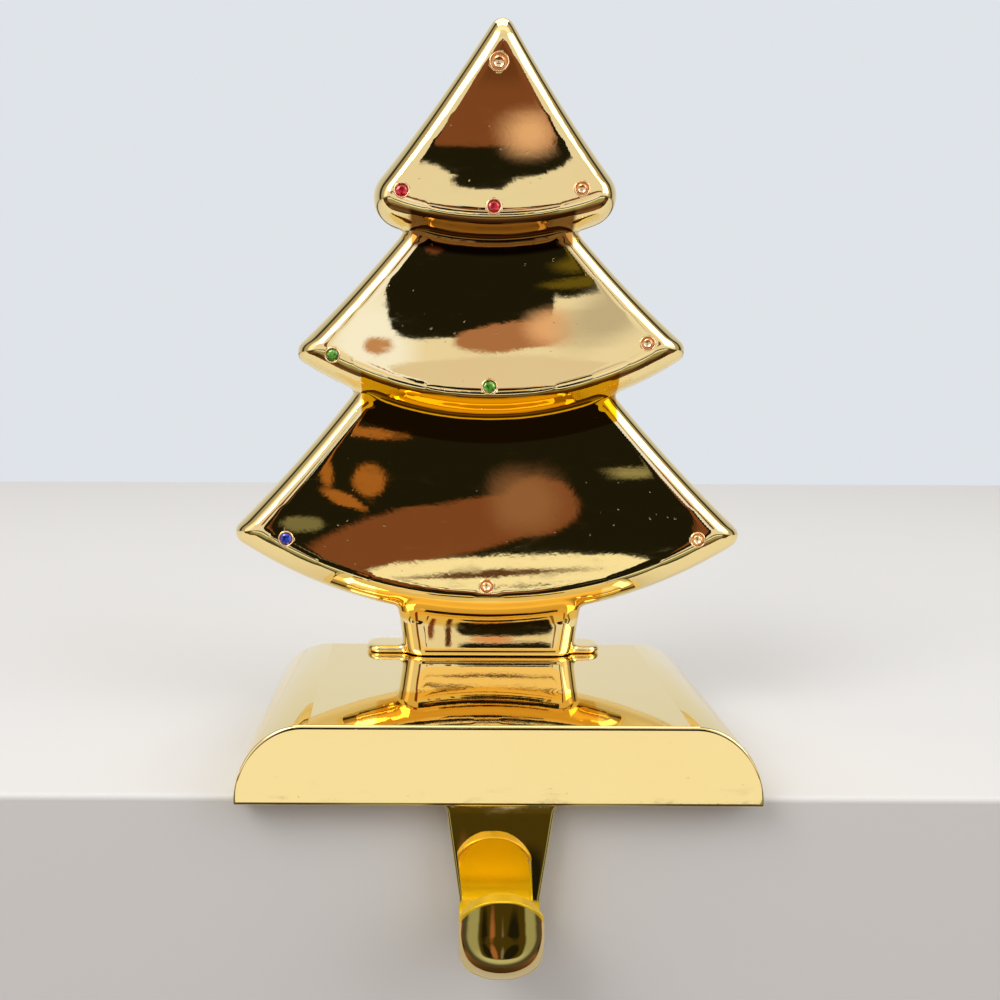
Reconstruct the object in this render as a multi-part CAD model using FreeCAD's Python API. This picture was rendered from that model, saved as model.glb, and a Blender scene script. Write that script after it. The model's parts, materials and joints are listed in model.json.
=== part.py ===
import FreeCAD, Part
import math
import os

# Mantel stocking holder: a heavy base block with a cast hook, and a tree of three tiers near its back edge.
# Lengths are millimetres. X runs to the right, Y to the back, Z up. The origin is the middle of the resting
# plane, under the centre of the base block.

Vector = FreeCAD.Vector

# Base block
BASE_WIDTH = 108.0
BASE_DEPTH = 66.0
BASE_HEIGHT = 17.0
SHOULDER_RUN = 14.3
FACE_EDGE_BEVEL = 0.5
BACK_EDGE_BEVEL = 0.8

# Non-slip pad in a shallow recess of the underside
PAD_LENGTH = 92.0
PAD_DEPTH = 50.0
PAD_THICKNESS = 1.5
PAD_PROUD = 0.3
PAD_CORNER = 5.0
PAD_BACK_MARGIN = 3.5
PAD_CLEARANCE = 0.15

# Hook, cast in one with the base
HOOK_SETBACK = 0.8
STRAP_THICKNESS = 4.0
STRAP_TOP_WIDTH = 22.2
STRAP_LOW_WIDTH = 17.0
STRAP_EDGE = 3.6
FINGER_WIDTH = 16.8
TIP_WIDTH = 15.9
HOOK_DROP = 32.6
HOOK_GAP = 12.6
BEND_THICKNESS = 6.4
BEND_SECTIONS = 6
TIP_THICKNESS = 4.6
FINGER_EDGE = 1.3
TIP_BELOW_BASE = 11.4
TIP_CROWN = 4.8
STRAP_BEVEL = 0.4
ROOT_FILLET = 1.6
ROOT_SUNK = 3.0

# Tree in the front view: sharp corners before rounding, across from the middle and up from the block's top
UPPER_APEX = (2.7, 155.4)
UPPER_CORNERS = ((-30.4, 110.6), (32.4, 111.2))
UPPER_LOW_MIDDLE = (0.6, 100.4)
UPPER_LOW_RADIUS = 72.0
UPPER_CORNER_ROUND = 7.0
UPPER_SIDE_BOW = 1.0
APEX_ROUND = 3.1
MIDDLE_TOPS = ((-20.4, 103.3), (21.1, 103.2))
MIDDLE_CORNERS = ((-48.5, 73.8), (48.4, 76.0))
MIDDLE_LOW_MIDDLE = (0.2, 58.8)
MIDDLE_LOW_RADIUS = 84.0
MIDDLE_SIDE_BOW = 0.7
LOWER_TOPS = ((-32.7, 64.6), (30.9, 64.4))
LOWER_CORNERS = ((-64.3, 29.3), (65.1, 28.7))
LOWER_LOW_MIDDLE = (0.5, 9.4)
LOWER_LOW_RADIUS = 112.0
LOWER_SIDE_BOW = 0.8
TIP_ROUND = 3.0
TIER_OVERLAP = 9.0

# Thickness of the tree in front of its middle plane, at the top and the lower edge of each tier
UPPER_DEPTHS = (4.6, 9.6)
MIDDLE_DEPTHS = (4.6, 10.2)
LOWER_DEPTHS = (5.5, 9.0)

# Thickness behind the middle plane, the rolled rims, and the hollow of the faces
BACK_DEPTH = 6.6
TREE_BACK_MARGIN = 0.4
BACK_ROUND = 3.0
SIDE_ROLL = 4.0
LOW_ROLL = 6.2
CREASE_RADIUS = 1.0
DISH_DEPTH = 1.2
DISH_TOP_MARGIN = 14.0

# Trunk and foot
TRUNK_CENTRE = 0.9
TRUNK_TOP_WIDTH = 46.6
TRUNK_FOOT_WIDTH = 42.0
TRUNK_RISE = 15.0
TRUNK_FRONT_DEPTH = 6.5
TRUNK_CORNER = 5.0
TRUNK_FOOT_BEVEL = 0.7
FOOT_LENGTH = 58.4
FOOT_DEPTH = 9.8
FOOT_THICKNESS = 1.9
FOOT_CENTRE = -0.4
FOOT_EDGE_BEVEL = 0.6
FOOT_CORNER = 3.6

# Screws that hold the tree from beneath, with their axes a little in front of the tree's middle plane
SCREW_SPACING = 24.0
SCREW_FORWARD = 1.5
SCREW_DIAMETER = 4.0
SCREW_HEAD_DIAMETER = 7.6
SCREW_HEAD_HEIGHT = 2.8
SCREW_GRIP = 9.0
SCREW_CLEARANCE = 0.25
THREAD_CLEARANCE = 0.05
HEAD_SEAT_HEIGHT = 5.0
SLOT_WIDTH = 1.0
SLOT_DEPTH = 1.2

# Settings for the stones: their places from the corners and the lower middle of each tier
UPPER_LEFT_SETTING = (9.5, 1.3)
UPPER_CENTRE_SETTING = (0.0, 7.8)
UPPER_RIGHT_SETTING = (-11.3, 1.2)
MIDDLE_LEFT_SETTING = (11.2, 0.0)
MIDDLE_CENTRE_SETTING = (-0.2, 7.7)
MIDDLE_RIGHT_SETTING = (-10.9, 0.8)
LOWER_LEFT_SETTING = (15.4, 0.2)
LOWER_CENTRE_SETTING = (-0.6, 8.8)
LOWER_RIGHT_SETTING = (-14.0, 0.9)
APEX_SETTING = (-1.1, -14.0)

# Cups of the settings, and the stones in them
SETTING_DIAMETER = 3.7
APEX_SETTING_DIAMETER = 4.6
LIP_WALL = 0.28
LIP_PROUD = 0.3
CUP_DEPTH = 1.35
GIRDLE_DEPTH = 0.35
GIRDLE_HEIGHT = 0.1
STONE_CLEARANCE = 0.05
STONE_CROWN = 0.45
STONE_TABLE_SHARE = 0.55
STONE_TAIL_SHARE = 0.4
STONE_SIDES = 8

FRONT_Y = -BASE_DEPTH / 2
BACK_Y = BASE_DEPTH / 2
TREE_MIDDLE_Y = BACK_Y - TREE_BACK_MARGIN - BACK_DEPTH
BLOCK_BOTTOM = PAD_PROUD
PAD_TOP = PAD_THICKNESS


def flat(x, z):
    """A point of the front view."""
    return Vector(x, 0, z)


def on_tree(point):
    """A point of the tree in the front view, from its place across and up from the block's top."""
    return flat(point[0], BASE_HEIGHT + point[1])


def unit(v):
    """The vector at length one."""
    return v * (1.0 / v.Length)


def arc(a, b, c):
    """The edge of the round arc from a over b to c."""
    return Part.Arc(a, b, c).toShape()


def line(a, b):
    """The straight edge from a to b."""
    return Part.LineSegment(a, b).toShape()


def bowed_circle(a, b, bow, inward):
    """Centre and radius of the arc from a to b that stands off its chord by bow, towards inward."""
    chord = b - a
    middle = (a + b) * 0.5
    normal = unit(Vector(-chord.z, 0, chord.x))
    if normal.dot(inward - middle) < 0:
        normal = normal * -1
    radius = (chord.Length ** 2 / 4 + bow ** 2) / (2 * bow)
    return middle - normal * (radius - bow), radius


def meet(centre_a, radius_a, centre_b, radius_b, near):
    """The crossing point of two circles of the front view that lies nearer to the point near."""
    between = centre_b - centre_a
    gap = between.Length
    along = (gap ** 2 + radius_a ** 2 - radius_b ** 2) / (2 * gap)
    across = math.sqrt(max(radius_a ** 2 - along ** 2, 0.0))
    foot = centre_a + unit(between) * along
    side = unit(Vector(-between.z, 0, between.x)) * across
    return min((foot + side, foot - side), key=lambda p: (p - near).Length)


def on_circle(centre, radius, towards):
    """The point of a circle in the direction of another point."""
    return centre + unit(towards - centre) * radius


def between_on_circle(centre, radius, a, b):
    """The middle of the short arc between two points of a circle."""
    return centre + unit((a - centre) + (b - centre)) * radius


class Tier:
    """One tier of the tree: two hollow-bowed sides and a lower edge bowed down, with rounded corners.

    The points are the sharp corners before rounding. A tier whose top points are one ends in a rounded
    apex, and another ends in a straight line inside the tier above.
    """

    def __init__(self, tops, corners, low_middle, low_radius, depths, corner_round, side_bow,
                 apex_round=None):
        top_left, top_right = [on_tree(p) for p in tops]
        corner_left, corner_right = [on_tree(p) for p in corners]
        low_middle = on_tree(low_middle)
        centre = (top_left + top_right + corner_left + corner_right) * 0.25
        self.low_middle = low_middle
        self.top_depth, self.low_depth = depths
        self.low_centre = low_middle + Vector(0, 0, low_radius)
        self.low_radius = low_radius
        self.left = bowed_circle(top_left, corner_left, side_bow, centre)
        self.right = bowed_circle(top_right, corner_right, side_bow, centre)
        self.corner_left = corner_left
        self.corner_right = corner_right
        self.corner_round = corner_round
        self.apex_round = apex_round
        self.apex = top_left
        self.top_z = top_left.z + (0 if apex_round else TIER_OVERLAP)
        self.low_z = low_middle.z

    def setting_places(self, left, centre, right):
        """Where the tier's three settings are, from their places off its corners and its lower middle."""
        anchors = (self.corner_left, self.low_middle, self.corner_right)
        return [anchor + flat(*shift) for anchor, shift in zip(anchors, (left, centre, right))]

    def corner(self, side, corner_point, side_inset, low_inset, radius):
        """The rounded corner between a side and the lower edge: its two ends and its middle."""
        centre, side_radius = side
        side_radius = side_radius + side_inset
        low_radius = self.low_radius - low_inset
        hub = meet(self.low_centre, low_radius - radius, centre, side_radius + radius, corner_point)
        on_low = on_circle(self.low_centre, low_radius, hub)
        on_side = on_circle(centre, side_radius, hub)
        return on_side, between_on_circle(hub, radius, on_side, on_low), on_low

    def top_ends(self, side_inset, share):
        """The upper ends of the two sides, and the middle of the apex round if there is one."""
        (left_centre, left_radius), (right_centre, right_radius) = self.left, self.right
        left_radius = left_radius + side_inset
        right_radius = right_radius + side_inset
        if self.apex_round:
            radius = self.apex_round + (CREASE_RADIUS - self.apex_round) * share
            below = self.apex - Vector(0, 0, 2 * radius + 2 * side_inset)
            hub = meet(left_centre, left_radius + radius, right_centre, right_radius + radius, below)
            left = on_circle(left_centre, left_radius, hub)
            right = on_circle(right_centre, right_radius, hub)
            return left, between_on_circle(hub, radius, left, right), right
        rise = self.top_z - left_centre.z
        left = flat(left_centre.x + math.sqrt(left_radius ** 2 - rise ** 2), self.top_z)
        rise = self.top_z - right_centre.z
        right = flat(right_centre.x - math.sqrt(right_radius ** 2 - rise ** 2), self.top_z)
        return left, None, right

    def outline(self, share, roll_side, roll_low, place):
        """The closed wire at a share of the rolled rim, 0 at its outside and 1 at the crease."""
        side_inset = roll_side * share
        low_inset = roll_low * share
        radius = self.corner_round + (CREASE_RADIUS - self.corner_round) * share
        top_left, apex, top_right = self.top_ends(side_inset, share)
        left = self.corner(self.left, self.corner_left, side_inset, low_inset, radius)
        right = self.corner(self.right, self.corner_right, side_inset, low_inset, radius)
        centre, side_radius = self.left
        left_bow = between_on_circle(centre, side_radius + side_inset, top_left, left[0])
        centre, side_radius = self.right
        right_bow = between_on_circle(centre, side_radius + side_inset, top_right, right[0])
        low_bow = between_on_circle(self.low_centre, self.low_radius - low_inset, left[2], right[2])
        edges = [
            arc(place(top_left), place(left_bow), place(left[0])),
            arc(place(left[0]), place(left[1]), place(left[2])),
            arc(place(left[2]), place(low_bow), place(right[2])),
            arc(place(right[2]), place(right[1]), place(right[0])),
            arc(place(right[0]), place(right_bow), place(top_right)),
        ]
        if apex is None:
            edges.append(line(place(top_right), place(top_left)))
        else:
            edges.append(arc(place(top_right), place(apex), place(top_left)))
        return Part.Wire(edges)

    def front_depth(self, z):
        """How far the face stands in front of the middle plane at a height: more towards the lower edge."""
        share = (self.top_z - z) / (self.top_z - self.low_z)
        return self.top_depth + (self.low_depth - self.top_depth) * share

    def front_half(self):
        """The rolled rim and the face, as a loft from the middle plane to the crease."""
        wires = []
        for degrees in (0, 22.5, 45, 67.5, 90):
            out = math.sin(math.radians(degrees))
            share = 1 - math.cos(math.radians(degrees))

            def place(p, out=out):
                return Vector(p.x, TREE_MIDDLE_Y - out * self.front_depth(p.z), p.z)

            wires.append(self.outline(share, SIDE_ROLL, LOW_ROLL, place))
        return Part.makeLoft(wires, True, True)

    def back_half(self):
        """The plain back with its rounded edge."""
        straight = BACK_DEPTH - BACK_ROUND
        rim = self.outline(0, SIDE_ROLL, LOW_ROLL, lambda p: Vector(p.x, TREE_MIDDLE_Y, p.z))
        body = Part.Face(rim).extrude(Vector(0, straight, 0))
        wires = []
        for degrees in (0, 45, 90):
            y = TREE_MIDDLE_Y + straight + BACK_ROUND * math.sin(math.radians(degrees))
            share = 1 - math.cos(math.radians(degrees))
            wires.append(self.outline(share, BACK_ROUND, BACK_ROUND, lambda p, y=y: Vector(p.x, y, p.z)))
        return body.fuse(Part.makeLoft(wires, True, True))

    def dish(self):
        """The shallow hollow of the face: a wide cylinder lying across it."""
        high = self.apex.z - DISH_TOP_MARGIN if self.apex_round else self.top_z - TIER_OVERLAP
        low = self.low_z + LOW_ROLL
        run = high - low
        lean = math.atan((self.front_depth(low) - self.front_depth(high)) / run)
        reach = run / math.cos(lean) / 2
        radius = (reach ** 2 + DISH_DEPTH ** 2) / (2 * DISH_DEPTH)
        middle_z = (high + low) / 2
        middle_y = TREE_MIDDLE_Y - self.front_depth(middle_z)
        off = radius - DISH_DEPTH
        axis_point = Vector(-BASE_WIDTH, middle_y - off * math.cos(lean), middle_z + off * math.sin(lean))
        return Part.makeCylinder(radius, 2 * BASE_WIDTH, axis_point, Vector(1, 0, 0))

    def solid(self):
        """The whole tier."""
        return self.front_half().cut(self.dish()).fuse(self.back_half())


UPPER_TIER = Tier((UPPER_APEX, UPPER_APEX), UPPER_CORNERS, UPPER_LOW_MIDDLE, UPPER_LOW_RADIUS,
                  UPPER_DEPTHS, UPPER_CORNER_ROUND, UPPER_SIDE_BOW, APEX_ROUND)
MIDDLE_TIER = Tier(MIDDLE_TOPS, MIDDLE_CORNERS, MIDDLE_LOW_MIDDLE, MIDDLE_LOW_RADIUS, MIDDLE_DEPTHS,
                   TIP_ROUND, MIDDLE_SIDE_BOW)
LOWER_TIER = Tier(LOWER_TOPS, LOWER_CORNERS, LOWER_LOW_MIDDLE, LOWER_LOW_RADIUS, LOWER_DEPTHS,
                  TIP_ROUND, LOWER_SIDE_BOW)
TIERS = (UPPER_TIER, MIDDLE_TIER, LOWER_TIER)


def shoulder_edge(side):
    """A quarter of an ellipse from the bottom corner to the flat top, on the right (1) or the left (-1)."""
    rise = BASE_HEIGHT - BLOCK_BOTTOM
    centre = flat(side * (BASE_WIDTH / 2 - SHOULDER_RUN), BLOCK_BOTTOM)
    bottom = centre + Vector(side * SHOULDER_RUN, 0, 0)
    top = centre + Vector(0, 0, rise)
    if rise >= SHOULDER_RUN:
        ellipse = Part.Ellipse(top, bottom, centre)
    else:
        ellipse = Part.Ellipse(bottom, top, centre)
    first, last = ellipse.parameter(bottom), ellipse.parameter(top)
    if (last - first) % (2 * math.pi) > math.pi:
        first, last = last, first
    if last < first:
        last = last + 2 * math.pi
    return Part.Edge(ellipse, first, last)


def arch_edges(block, y):
    """The edges of the arch profile on the front or the back of the block."""
    def is_there(box):
        return abs(box.YMin - y) < 0.01 and abs(box.YMax - y) < 0.01 and box.ZMax > BLOCK_BOTTOM + 1
    return [e for e in block.Edges if is_there(e.BoundBox)]


def base_block():
    """The block: an arch profile drawn to the back, with small bevels on its edges."""
    half = BASE_WIDTH / 2
    flat_half = half - SHOULDER_RUN
    profile = Part.Wire([
        line(flat(-half, BLOCK_BOTTOM), flat(half, BLOCK_BOTTOM)),
        shoulder_edge(1),
        line(flat(flat_half, BASE_HEIGHT), flat(-flat_half, BASE_HEIGHT)),
        shoulder_edge(-1),
    ])
    block = Part.Face(profile).extrude(Vector(0, BASE_DEPTH, 0))
    block.translate(Vector(0, FRONT_Y, 0))
    block = block.makeChamfer(FACE_EDGE_BEVEL, arch_edges(block, FRONT_Y))
    return block.makeChamfer(BACK_EDGE_BEVEL, arch_edges(block, BACK_Y))


def hook_section(point, out, width, centre_thickness, edge_thickness):
    """One section of the hook, flat inside and crowned outside, from its inner point outwards."""
    half = width / 2

    def at(x, t):
        return point + Vector(x, 0, 0) + out * t

    return Part.Wire([
        line(at(-half + STRAP_BEVEL, 0), at(half - STRAP_BEVEL, 0)),
        line(at(half - STRAP_BEVEL, 0), at(half, STRAP_BEVEL)),
        line(at(half, STRAP_BEVEL), at(half, edge_thickness)),
        arc(at(half, edge_thickness), at(0, centre_thickness), at(-half, edge_thickness)),
        line(at(-half, edge_thickness), at(-half, STRAP_BEVEL)),
        line(at(-half, STRAP_BEVEL), at(-half + STRAP_BEVEL, 0)),
    ])


class Hook:
    """The hook: a tapering strap, a bend and an upright finger with a crowned outside and a rounded end."""

    def __init__(self):
        self.strap_y = FRONT_Y + HOOK_SETBACK
        self.radius = HOOK_GAP / 2
        self.bend_y = self.strap_y - self.radius
        self.bend_z = -HOOK_DROP + BEND_THICKNESS + self.radius
        self.finger_y = self.bend_y - self.radius
        self.tip_z = -TIP_BELOW_BASE

    def strap_half(self, z):
        """Half the strap's width at a height."""
        share = z / self.bend_z
        return (STRAP_TOP_WIDTH + (STRAP_LOW_WIDTH - STRAP_TOP_WIDTH) * share) / 2

    def strap(self):
        """The strap, from inside the block to the start of the bend."""
        back = Vector(0, 1, 0)
        sections = []
        for z in (ROOT_SUNK, self.bend_z):
            width = 2 * self.strap_half(z)
            point = Vector(0, self.strap_y, z)
            sections.append(hook_section(point, back, width, STRAP_THICKNESS, STRAP_EDGE))
        return Part.makeLoft(sections, True, True)

    def bend(self):
        """The bend, which swells in the middle and loses its square edges towards the finger."""
        sections = []
        for i in range(BEND_SECTIONS + 1):
            share = i / BEND_SECTIONS
            turn = math.pi * share
            out = Vector(0, math.cos(turn), -math.sin(turn))
            point = Vector(0, self.bend_y, self.bend_z) + out * self.radius
            ease = (1 - math.cos(turn)) / 2
            width = STRAP_LOW_WIDTH + (FINGER_WIDTH - STRAP_LOW_WIDTH) * ease
            plain = STRAP_THICKNESS + (TIP_THICKNESS - STRAP_THICKNESS) * ease
            centre = plain + (BEND_THICKNESS - plain) * math.sin(turn)
            edge = STRAP_EDGE + (FINGER_EDGE - STRAP_EDGE) * ease
            sections.append(hook_section(point, out, width, centre, edge))
        return Part.makeLoft(sections, True, False)

    def finger(self):
        """The upright finger, with an end that is round from the front."""
        front = Vector(0, -1, 0)
        ends = []
        for z, width in ((self.bend_z, FINGER_WIDTH), (self.tip_z, TIP_WIDTH)):
            ends.append(hook_section(Vector(0, self.finger_y, z), front, width, TIP_THICKNESS, FINGER_EDGE))
        body = Part.makeLoft(ends, True, True)
        half = TIP_WIDTH / 2
        crown = (half ** 2 + TIP_CROWN ** 2) / (2 * TIP_CROWN)
        wide = min(FINGER_WIDTH / 2 + 0.1, crown - 0.1)
        shoulder_z = self.tip_z - crown + math.sqrt(crown ** 2 - wide ** 2)
        outline = Part.Wire([
            line(flat(-wide, self.bend_z), flat(wide, self.bend_z)),
            line(flat(wide, self.bend_z), flat(wide, shoulder_z)),
            arc(flat(wide, shoulder_z), flat(0, self.tip_z), flat(-wide, shoulder_z)),
            line(flat(-wide, shoulder_z), flat(-wide, self.bend_z)),
        ])
        keep = Part.Face(outline).extrude(Vector(0, 2 * TIP_THICKNESS, 0))
        keep.translate(Vector(0, self.finger_y - 1.5 * TIP_THICKNESS, 0))
        return body.common(keep)

    def root(self):
        """The small hollow fillets where the strap's sides meet the underside of the block."""
        low = BLOCK_BOTTOM - ROOT_FILLET
        half = self.strap_half(low)
        wide = half + ROOT_FILLET
        hollow = ROOT_FILLET * (1 - math.sqrt(0.5))
        outline = Part.Wire([
            line(flat(-half, low), flat(half, low)),
            arc(flat(half, low), flat(half + hollow, BLOCK_BOTTOM - hollow), flat(wide, BLOCK_BOTTOM)),
            line(flat(wide, BLOCK_BOTTOM), flat(wide, BLOCK_BOTTOM + ROOT_FILLET)),
            line(flat(wide, BLOCK_BOTTOM + ROOT_FILLET), flat(-wide, BLOCK_BOTTOM + ROOT_FILLET)),
            line(flat(-wide, BLOCK_BOTTOM + ROOT_FILLET), flat(-wide, BLOCK_BOTTOM)),
            arc(flat(-wide, BLOCK_BOTTOM), flat(-half - hollow, BLOCK_BOTTOM - hollow), flat(-half, low)),
        ])
        root = Part.Face(outline).extrude(Vector(0, STRAP_EDGE - STRAP_BEVEL, 0))
        root.translate(Vector(0, self.strap_y + STRAP_BEVEL, 0))
        return root

    def solids(self):
        """All pieces of the hook, to be fused with the block."""
        return [self.strap(), self.bend(), self.finger(), self.root()]


def pad_plate(grow, z_low, z_high):
    """The outline of the pad, grown by a clearance, between two heights."""
    width = PAD_LENGTH + 2 * grow
    depth = PAD_DEPTH + 2 * grow
    centre_y = BACK_Y - PAD_BACK_MARGIN - PAD_DEPTH / 2
    plate = Part.makeBox(width, depth, z_high - z_low, Vector(-width / 2, centre_y - depth / 2, z_low))
    upright = [e for e in plate.Edges if e.BoundBox.ZLength > (z_high - z_low) / 2]
    return plate.makeFillet(PAD_CORNER + grow, upright)


def screw_places():
    """The axis points of the two screws on the top of the block."""
    y = TREE_MIDDLE_Y - SCREW_FORWARD
    return [Vector(TRUNK_CENTRE + side * SCREW_SPACING / 2, y, BASE_HEIGHT) for side in (-1, 1)]


def base_with_hook():
    """The base casting: block, hook, pad recess and screw holes."""
    body = base_block().fuse(Hook().solids())
    body = body.cut(pad_plate(PAD_CLEARANCE, BLOCK_BOTTOM - 1, PAD_TOP))
    for place in screw_places():
        foot = Vector(place.x, place.y, 0)
        bore = Part.makeCylinder(SCREW_DIAMETER / 2 + SCREW_CLEARANCE, BASE_HEIGHT + 1, foot)
        seat = Part.makeCylinder(SCREW_HEAD_DIAMETER / 2 + SCREW_CLEARANCE, HEAD_SEAT_HEIGHT, foot)
        body = body.cut(bore.fuse(seat))
    return body.removeSplitter()


def base_pad():
    """The non-slip pad under the block."""
    return pad_plate(0, 0, PAD_TOP)


def foot_screws():
    """The two slotted screws that hold the tree from beneath."""
    screws = []
    for place in screw_places():
        head_z = HEAD_SEAT_HEIGHT - SCREW_HEAD_HEIGHT
        reach = BASE_HEIGHT + SCREW_GRIP - HEAD_SEAT_HEIGHT
        under_head = Vector(place.x, place.y, head_z)
        head = Part.makeCylinder(SCREW_HEAD_DIAMETER / 2, SCREW_HEAD_HEIGHT, under_head)
        shank = Part.makeCylinder(SCREW_DIAMETER / 2, reach, Vector(place.x, place.y, HEAD_SEAT_HEIGHT))
        corner = Vector(place.x - SCREW_HEAD_DIAMETER, place.y - SLOT_WIDTH / 2, head_z - SLOT_DEPTH)
        slot = Part.makeBox(2 * SCREW_HEAD_DIAMETER, SLOT_WIDTH, 2 * SLOT_DEPTH, corner)
        screws.append(head.fuse(shank).cut(slot).removeSplitter())
    return Part.makeCompound(screws)


def trunk():
    """The trunk, wider at its top, with rounded upright corners and a bevelled foot."""
    def is_slanted(box, y):
        return box.ZLength > TRUNK_RISE / 2 and abs(box.YMin - y) < 0.01 and abs(box.YMax - y) < 0.01

    front = TREE_MIDDLE_Y - TRUNK_FRONT_DEPTH
    back = TREE_MIDDLE_Y + BACK_DEPTH
    corners = []
    for side, width, z in ((-1, TRUNK_FOOT_WIDTH, 0), (1, TRUNK_FOOT_WIDTH, 0),
                           (1, TRUNK_TOP_WIDTH, TRUNK_RISE), (-1, TRUNK_TOP_WIDTH, TRUNK_RISE)):
        corners.append(Vector(TRUNK_CENTRE + side * width / 2, front, BASE_HEIGHT + z))
    body = Part.Face(Part.makePolygon(corners + corners[:1])).extrude(Vector(0, back - front, 0))
    body = body.makeFillet(TRUNK_CORNER, [e for e in body.Edges if is_slanted(e.BoundBox, front)])
    body = body.makeFillet(BACK_ROUND, [e for e in body.Edges if is_slanted(e.BoundBox, back)])
    low_rim = [e for e in body.Edges if e.BoundBox.ZMax < BASE_HEIGHT + 0.01]
    return body.makeChamfer(TRUNK_FOOT_BEVEL, low_rim)


def foot():
    """The flat foot under the trunk, which shows as a rounded ear on each side."""
    back = TREE_MIDDLE_Y + BACK_DEPTH
    plate = Part.makeBox(FOOT_LENGTH, FOOT_DEPTH, FOOT_THICKNESS,
                         Vector(FOOT_CENTRE - FOOT_LENGTH / 2, back - FOOT_DEPTH, BASE_HEIGHT))
    upright = [e for e in plate.Edges if e.BoundBox.ZLength > FOOT_THICKNESS / 2]
    plate = plate.makeFillet(FOOT_CORNER, upright)
    upper = [e for e in plate.Edges if e.BoundBox.ZMin > BASE_HEIGHT + FOOT_THICKNESS / 2]
    return plate.makeChamfer(FOOT_EDGE_BEVEL, upper)


class Setting:
    """A round setting in a face: a thin raised lip round a cup, and the stone that fits it."""

    def __init__(self, tree, place, diameter):
        sight = line(Vector(place.x, FRONT_Y, place.z), Vector(place.x, TREE_MIDDLE_Y, place.z))
        self.place = Vector(place.x, min(v.Y for v in tree.common(sight).Vertexes), place.z)
        self.outer = diameter / 2
        self.inner = self.outer - LIP_WALL
        self.deep = CUP_DEPTH * diameter / SETTING_DIAMETER

    def turned(self, points):
        """A solid turned round the setting's axis from radius and depth pairs."""
        corners = [self.place + Vector(r, d, 0) for r, d in points]
        outline = Part.makePolygon(corners + corners[:1])
        return Part.Face(outline).revolve(self.place, Vector(0, 1, 0), 360)

    def plug(self):
        """The lip and the wall of the cup."""
        root = self.deep + LIP_WALL
        return self.turned([
            (0, root), (self.outer, root), (self.outer, -LIP_PROUD), (self.inner, -LIP_PROUD),
            (self.inner, self.deep), (0, self.deep),
        ])

    def bore(self):
        """What is cleared in the face before the plug goes in."""
        radius = (self.outer + self.inner) / 2
        length = self.deep + LIP_WALL / 2 + 2 * LIP_PROUD
        return Part.makeCylinder(radius, length, self.place - Vector(0, 2 * LIP_PROUD, 0), Vector(0, 1, 0))

    def ring(self, radius, depth):
        """The corners of an even-sided outline round the setting's axis."""
        turns = [2 * math.pi * (i + 0.5) / STONE_SIDES for i in range(STONE_SIDES)]
        return [self.place + Vector(radius * math.cos(t), depth, radius * math.sin(t)) for t in turns]

    def stone(self):
        """A faceted round stone: table and crown in front of the girdle, a tapering back behind it."""
        girdle = self.inner - STONE_CLEARANCE
        seat = GIRDLE_DEPTH - STONE_CLEARANCE
        rings = [
            self.ring(girdle * STONE_TABLE_SHARE, seat - GIRDLE_HEIGHT - STONE_CROWN),
            self.ring(girdle, seat - GIRDLE_HEIGHT),
            self.ring(girdle, seat),
            self.ring(girdle * STONE_TAIL_SHARE, self.deep - STONE_CLEARANCE),
        ]
        outlines = [rings[0], rings[-1]]
        for near, far in zip(rings, rings[1:]):
            for i in range(STONE_SIDES):
                outlines.append([near[i - 1], near[i], far[i], far[i - 1]])
        facets = [Part.Face(Part.makePolygon(corners + corners[:1])) for corners in outlines]
        stone = Part.Solid(Part.Shell(facets))
        return stone if stone.Volume > 0 else stone.reversed()


def tree_body():
    """The tree before its settings are made: three tiers, trunk and foot as one casting."""
    pieces = [tier.solid() for tier in TIERS] + [trunk(), foot()]
    body = pieces[0].fuse(pieces[1:])
    for place in screw_places():
        depth = SCREW_GRIP + 2 * SCREW_CLEARANCE
        body = body.cut(Part.makeCylinder(SCREW_DIAMETER / 2 + THREAD_CLEARANCE, depth, place))
    return body


def tree_and_stones():
    """The tree casting with its settings, and the stones by name."""
    body = tree_body()
    upper = UPPER_TIER.setting_places(UPPER_LEFT_SETTING, UPPER_CENTRE_SETTING, UPPER_RIGHT_SETTING)
    middle = MIDDLE_TIER.setting_places(MIDDLE_LEFT_SETTING, MIDDLE_CENTRE_SETTING, MIDDLE_RIGHT_SETTING)
    lower = LOWER_TIER.setting_places(LOWER_LEFT_SETTING, LOWER_CENTRE_SETTING, LOWER_RIGHT_SETTING)
    filled = {
        "stone_upper_left_red": Setting(body, upper[0], SETTING_DIAMETER),
        "stone_upper_centre_red": Setting(body, upper[1], SETTING_DIAMETER),
        "stone_middle_left_green": Setting(body, middle[0], SETTING_DIAMETER),
        "stone_middle_centre_green": Setting(body, middle[1], SETTING_DIAMETER),
        "stone_lower_left_blue": Setting(body, lower[0], SETTING_DIAMETER),
    }
    bare = (upper[2], middle[2], lower[1], lower[2])
    empty = [Setting(body, place, SETTING_DIAMETER) for place in bare]
    empty.append(Setting(body, UPPER_TIER.apex + flat(*APEX_SETTING), APEX_SETTING_DIAMETER))
    settings = list(filled.values()) + empty
    body = body.cut([s.bore() for s in settings]).fuse([s.plug() for s in settings])
    return body.removeSplitter(), {name: s.stone() for name, s in filled.items()}


def build():
    """All pieces by name."""
    tree, stones = tree_and_stones()
    pieces = {"base_with_hook": base_with_hook(), "tree_casting": tree, "base_pad": base_pad(),
              "foot_screws": foot_screws()}
    pieces.update(stones)
    return pieces


if __name__ == "__main__":
    os.makedirs("parts", exist_ok=True)
    for name, shape in build().items():
        shape.exportStep("parts/%s.step" % name)
        print(name, len(shape.Solids), round(shape.Volume))
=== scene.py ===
"""Looks of the mantel stocking holder: a polished gold-coloured casting with a tiered tree and small stones."""

import json
import logging
import math
from dataclasses import dataclass, field
from enum import Enum
from typing import Iterable, Optional, Union

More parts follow.
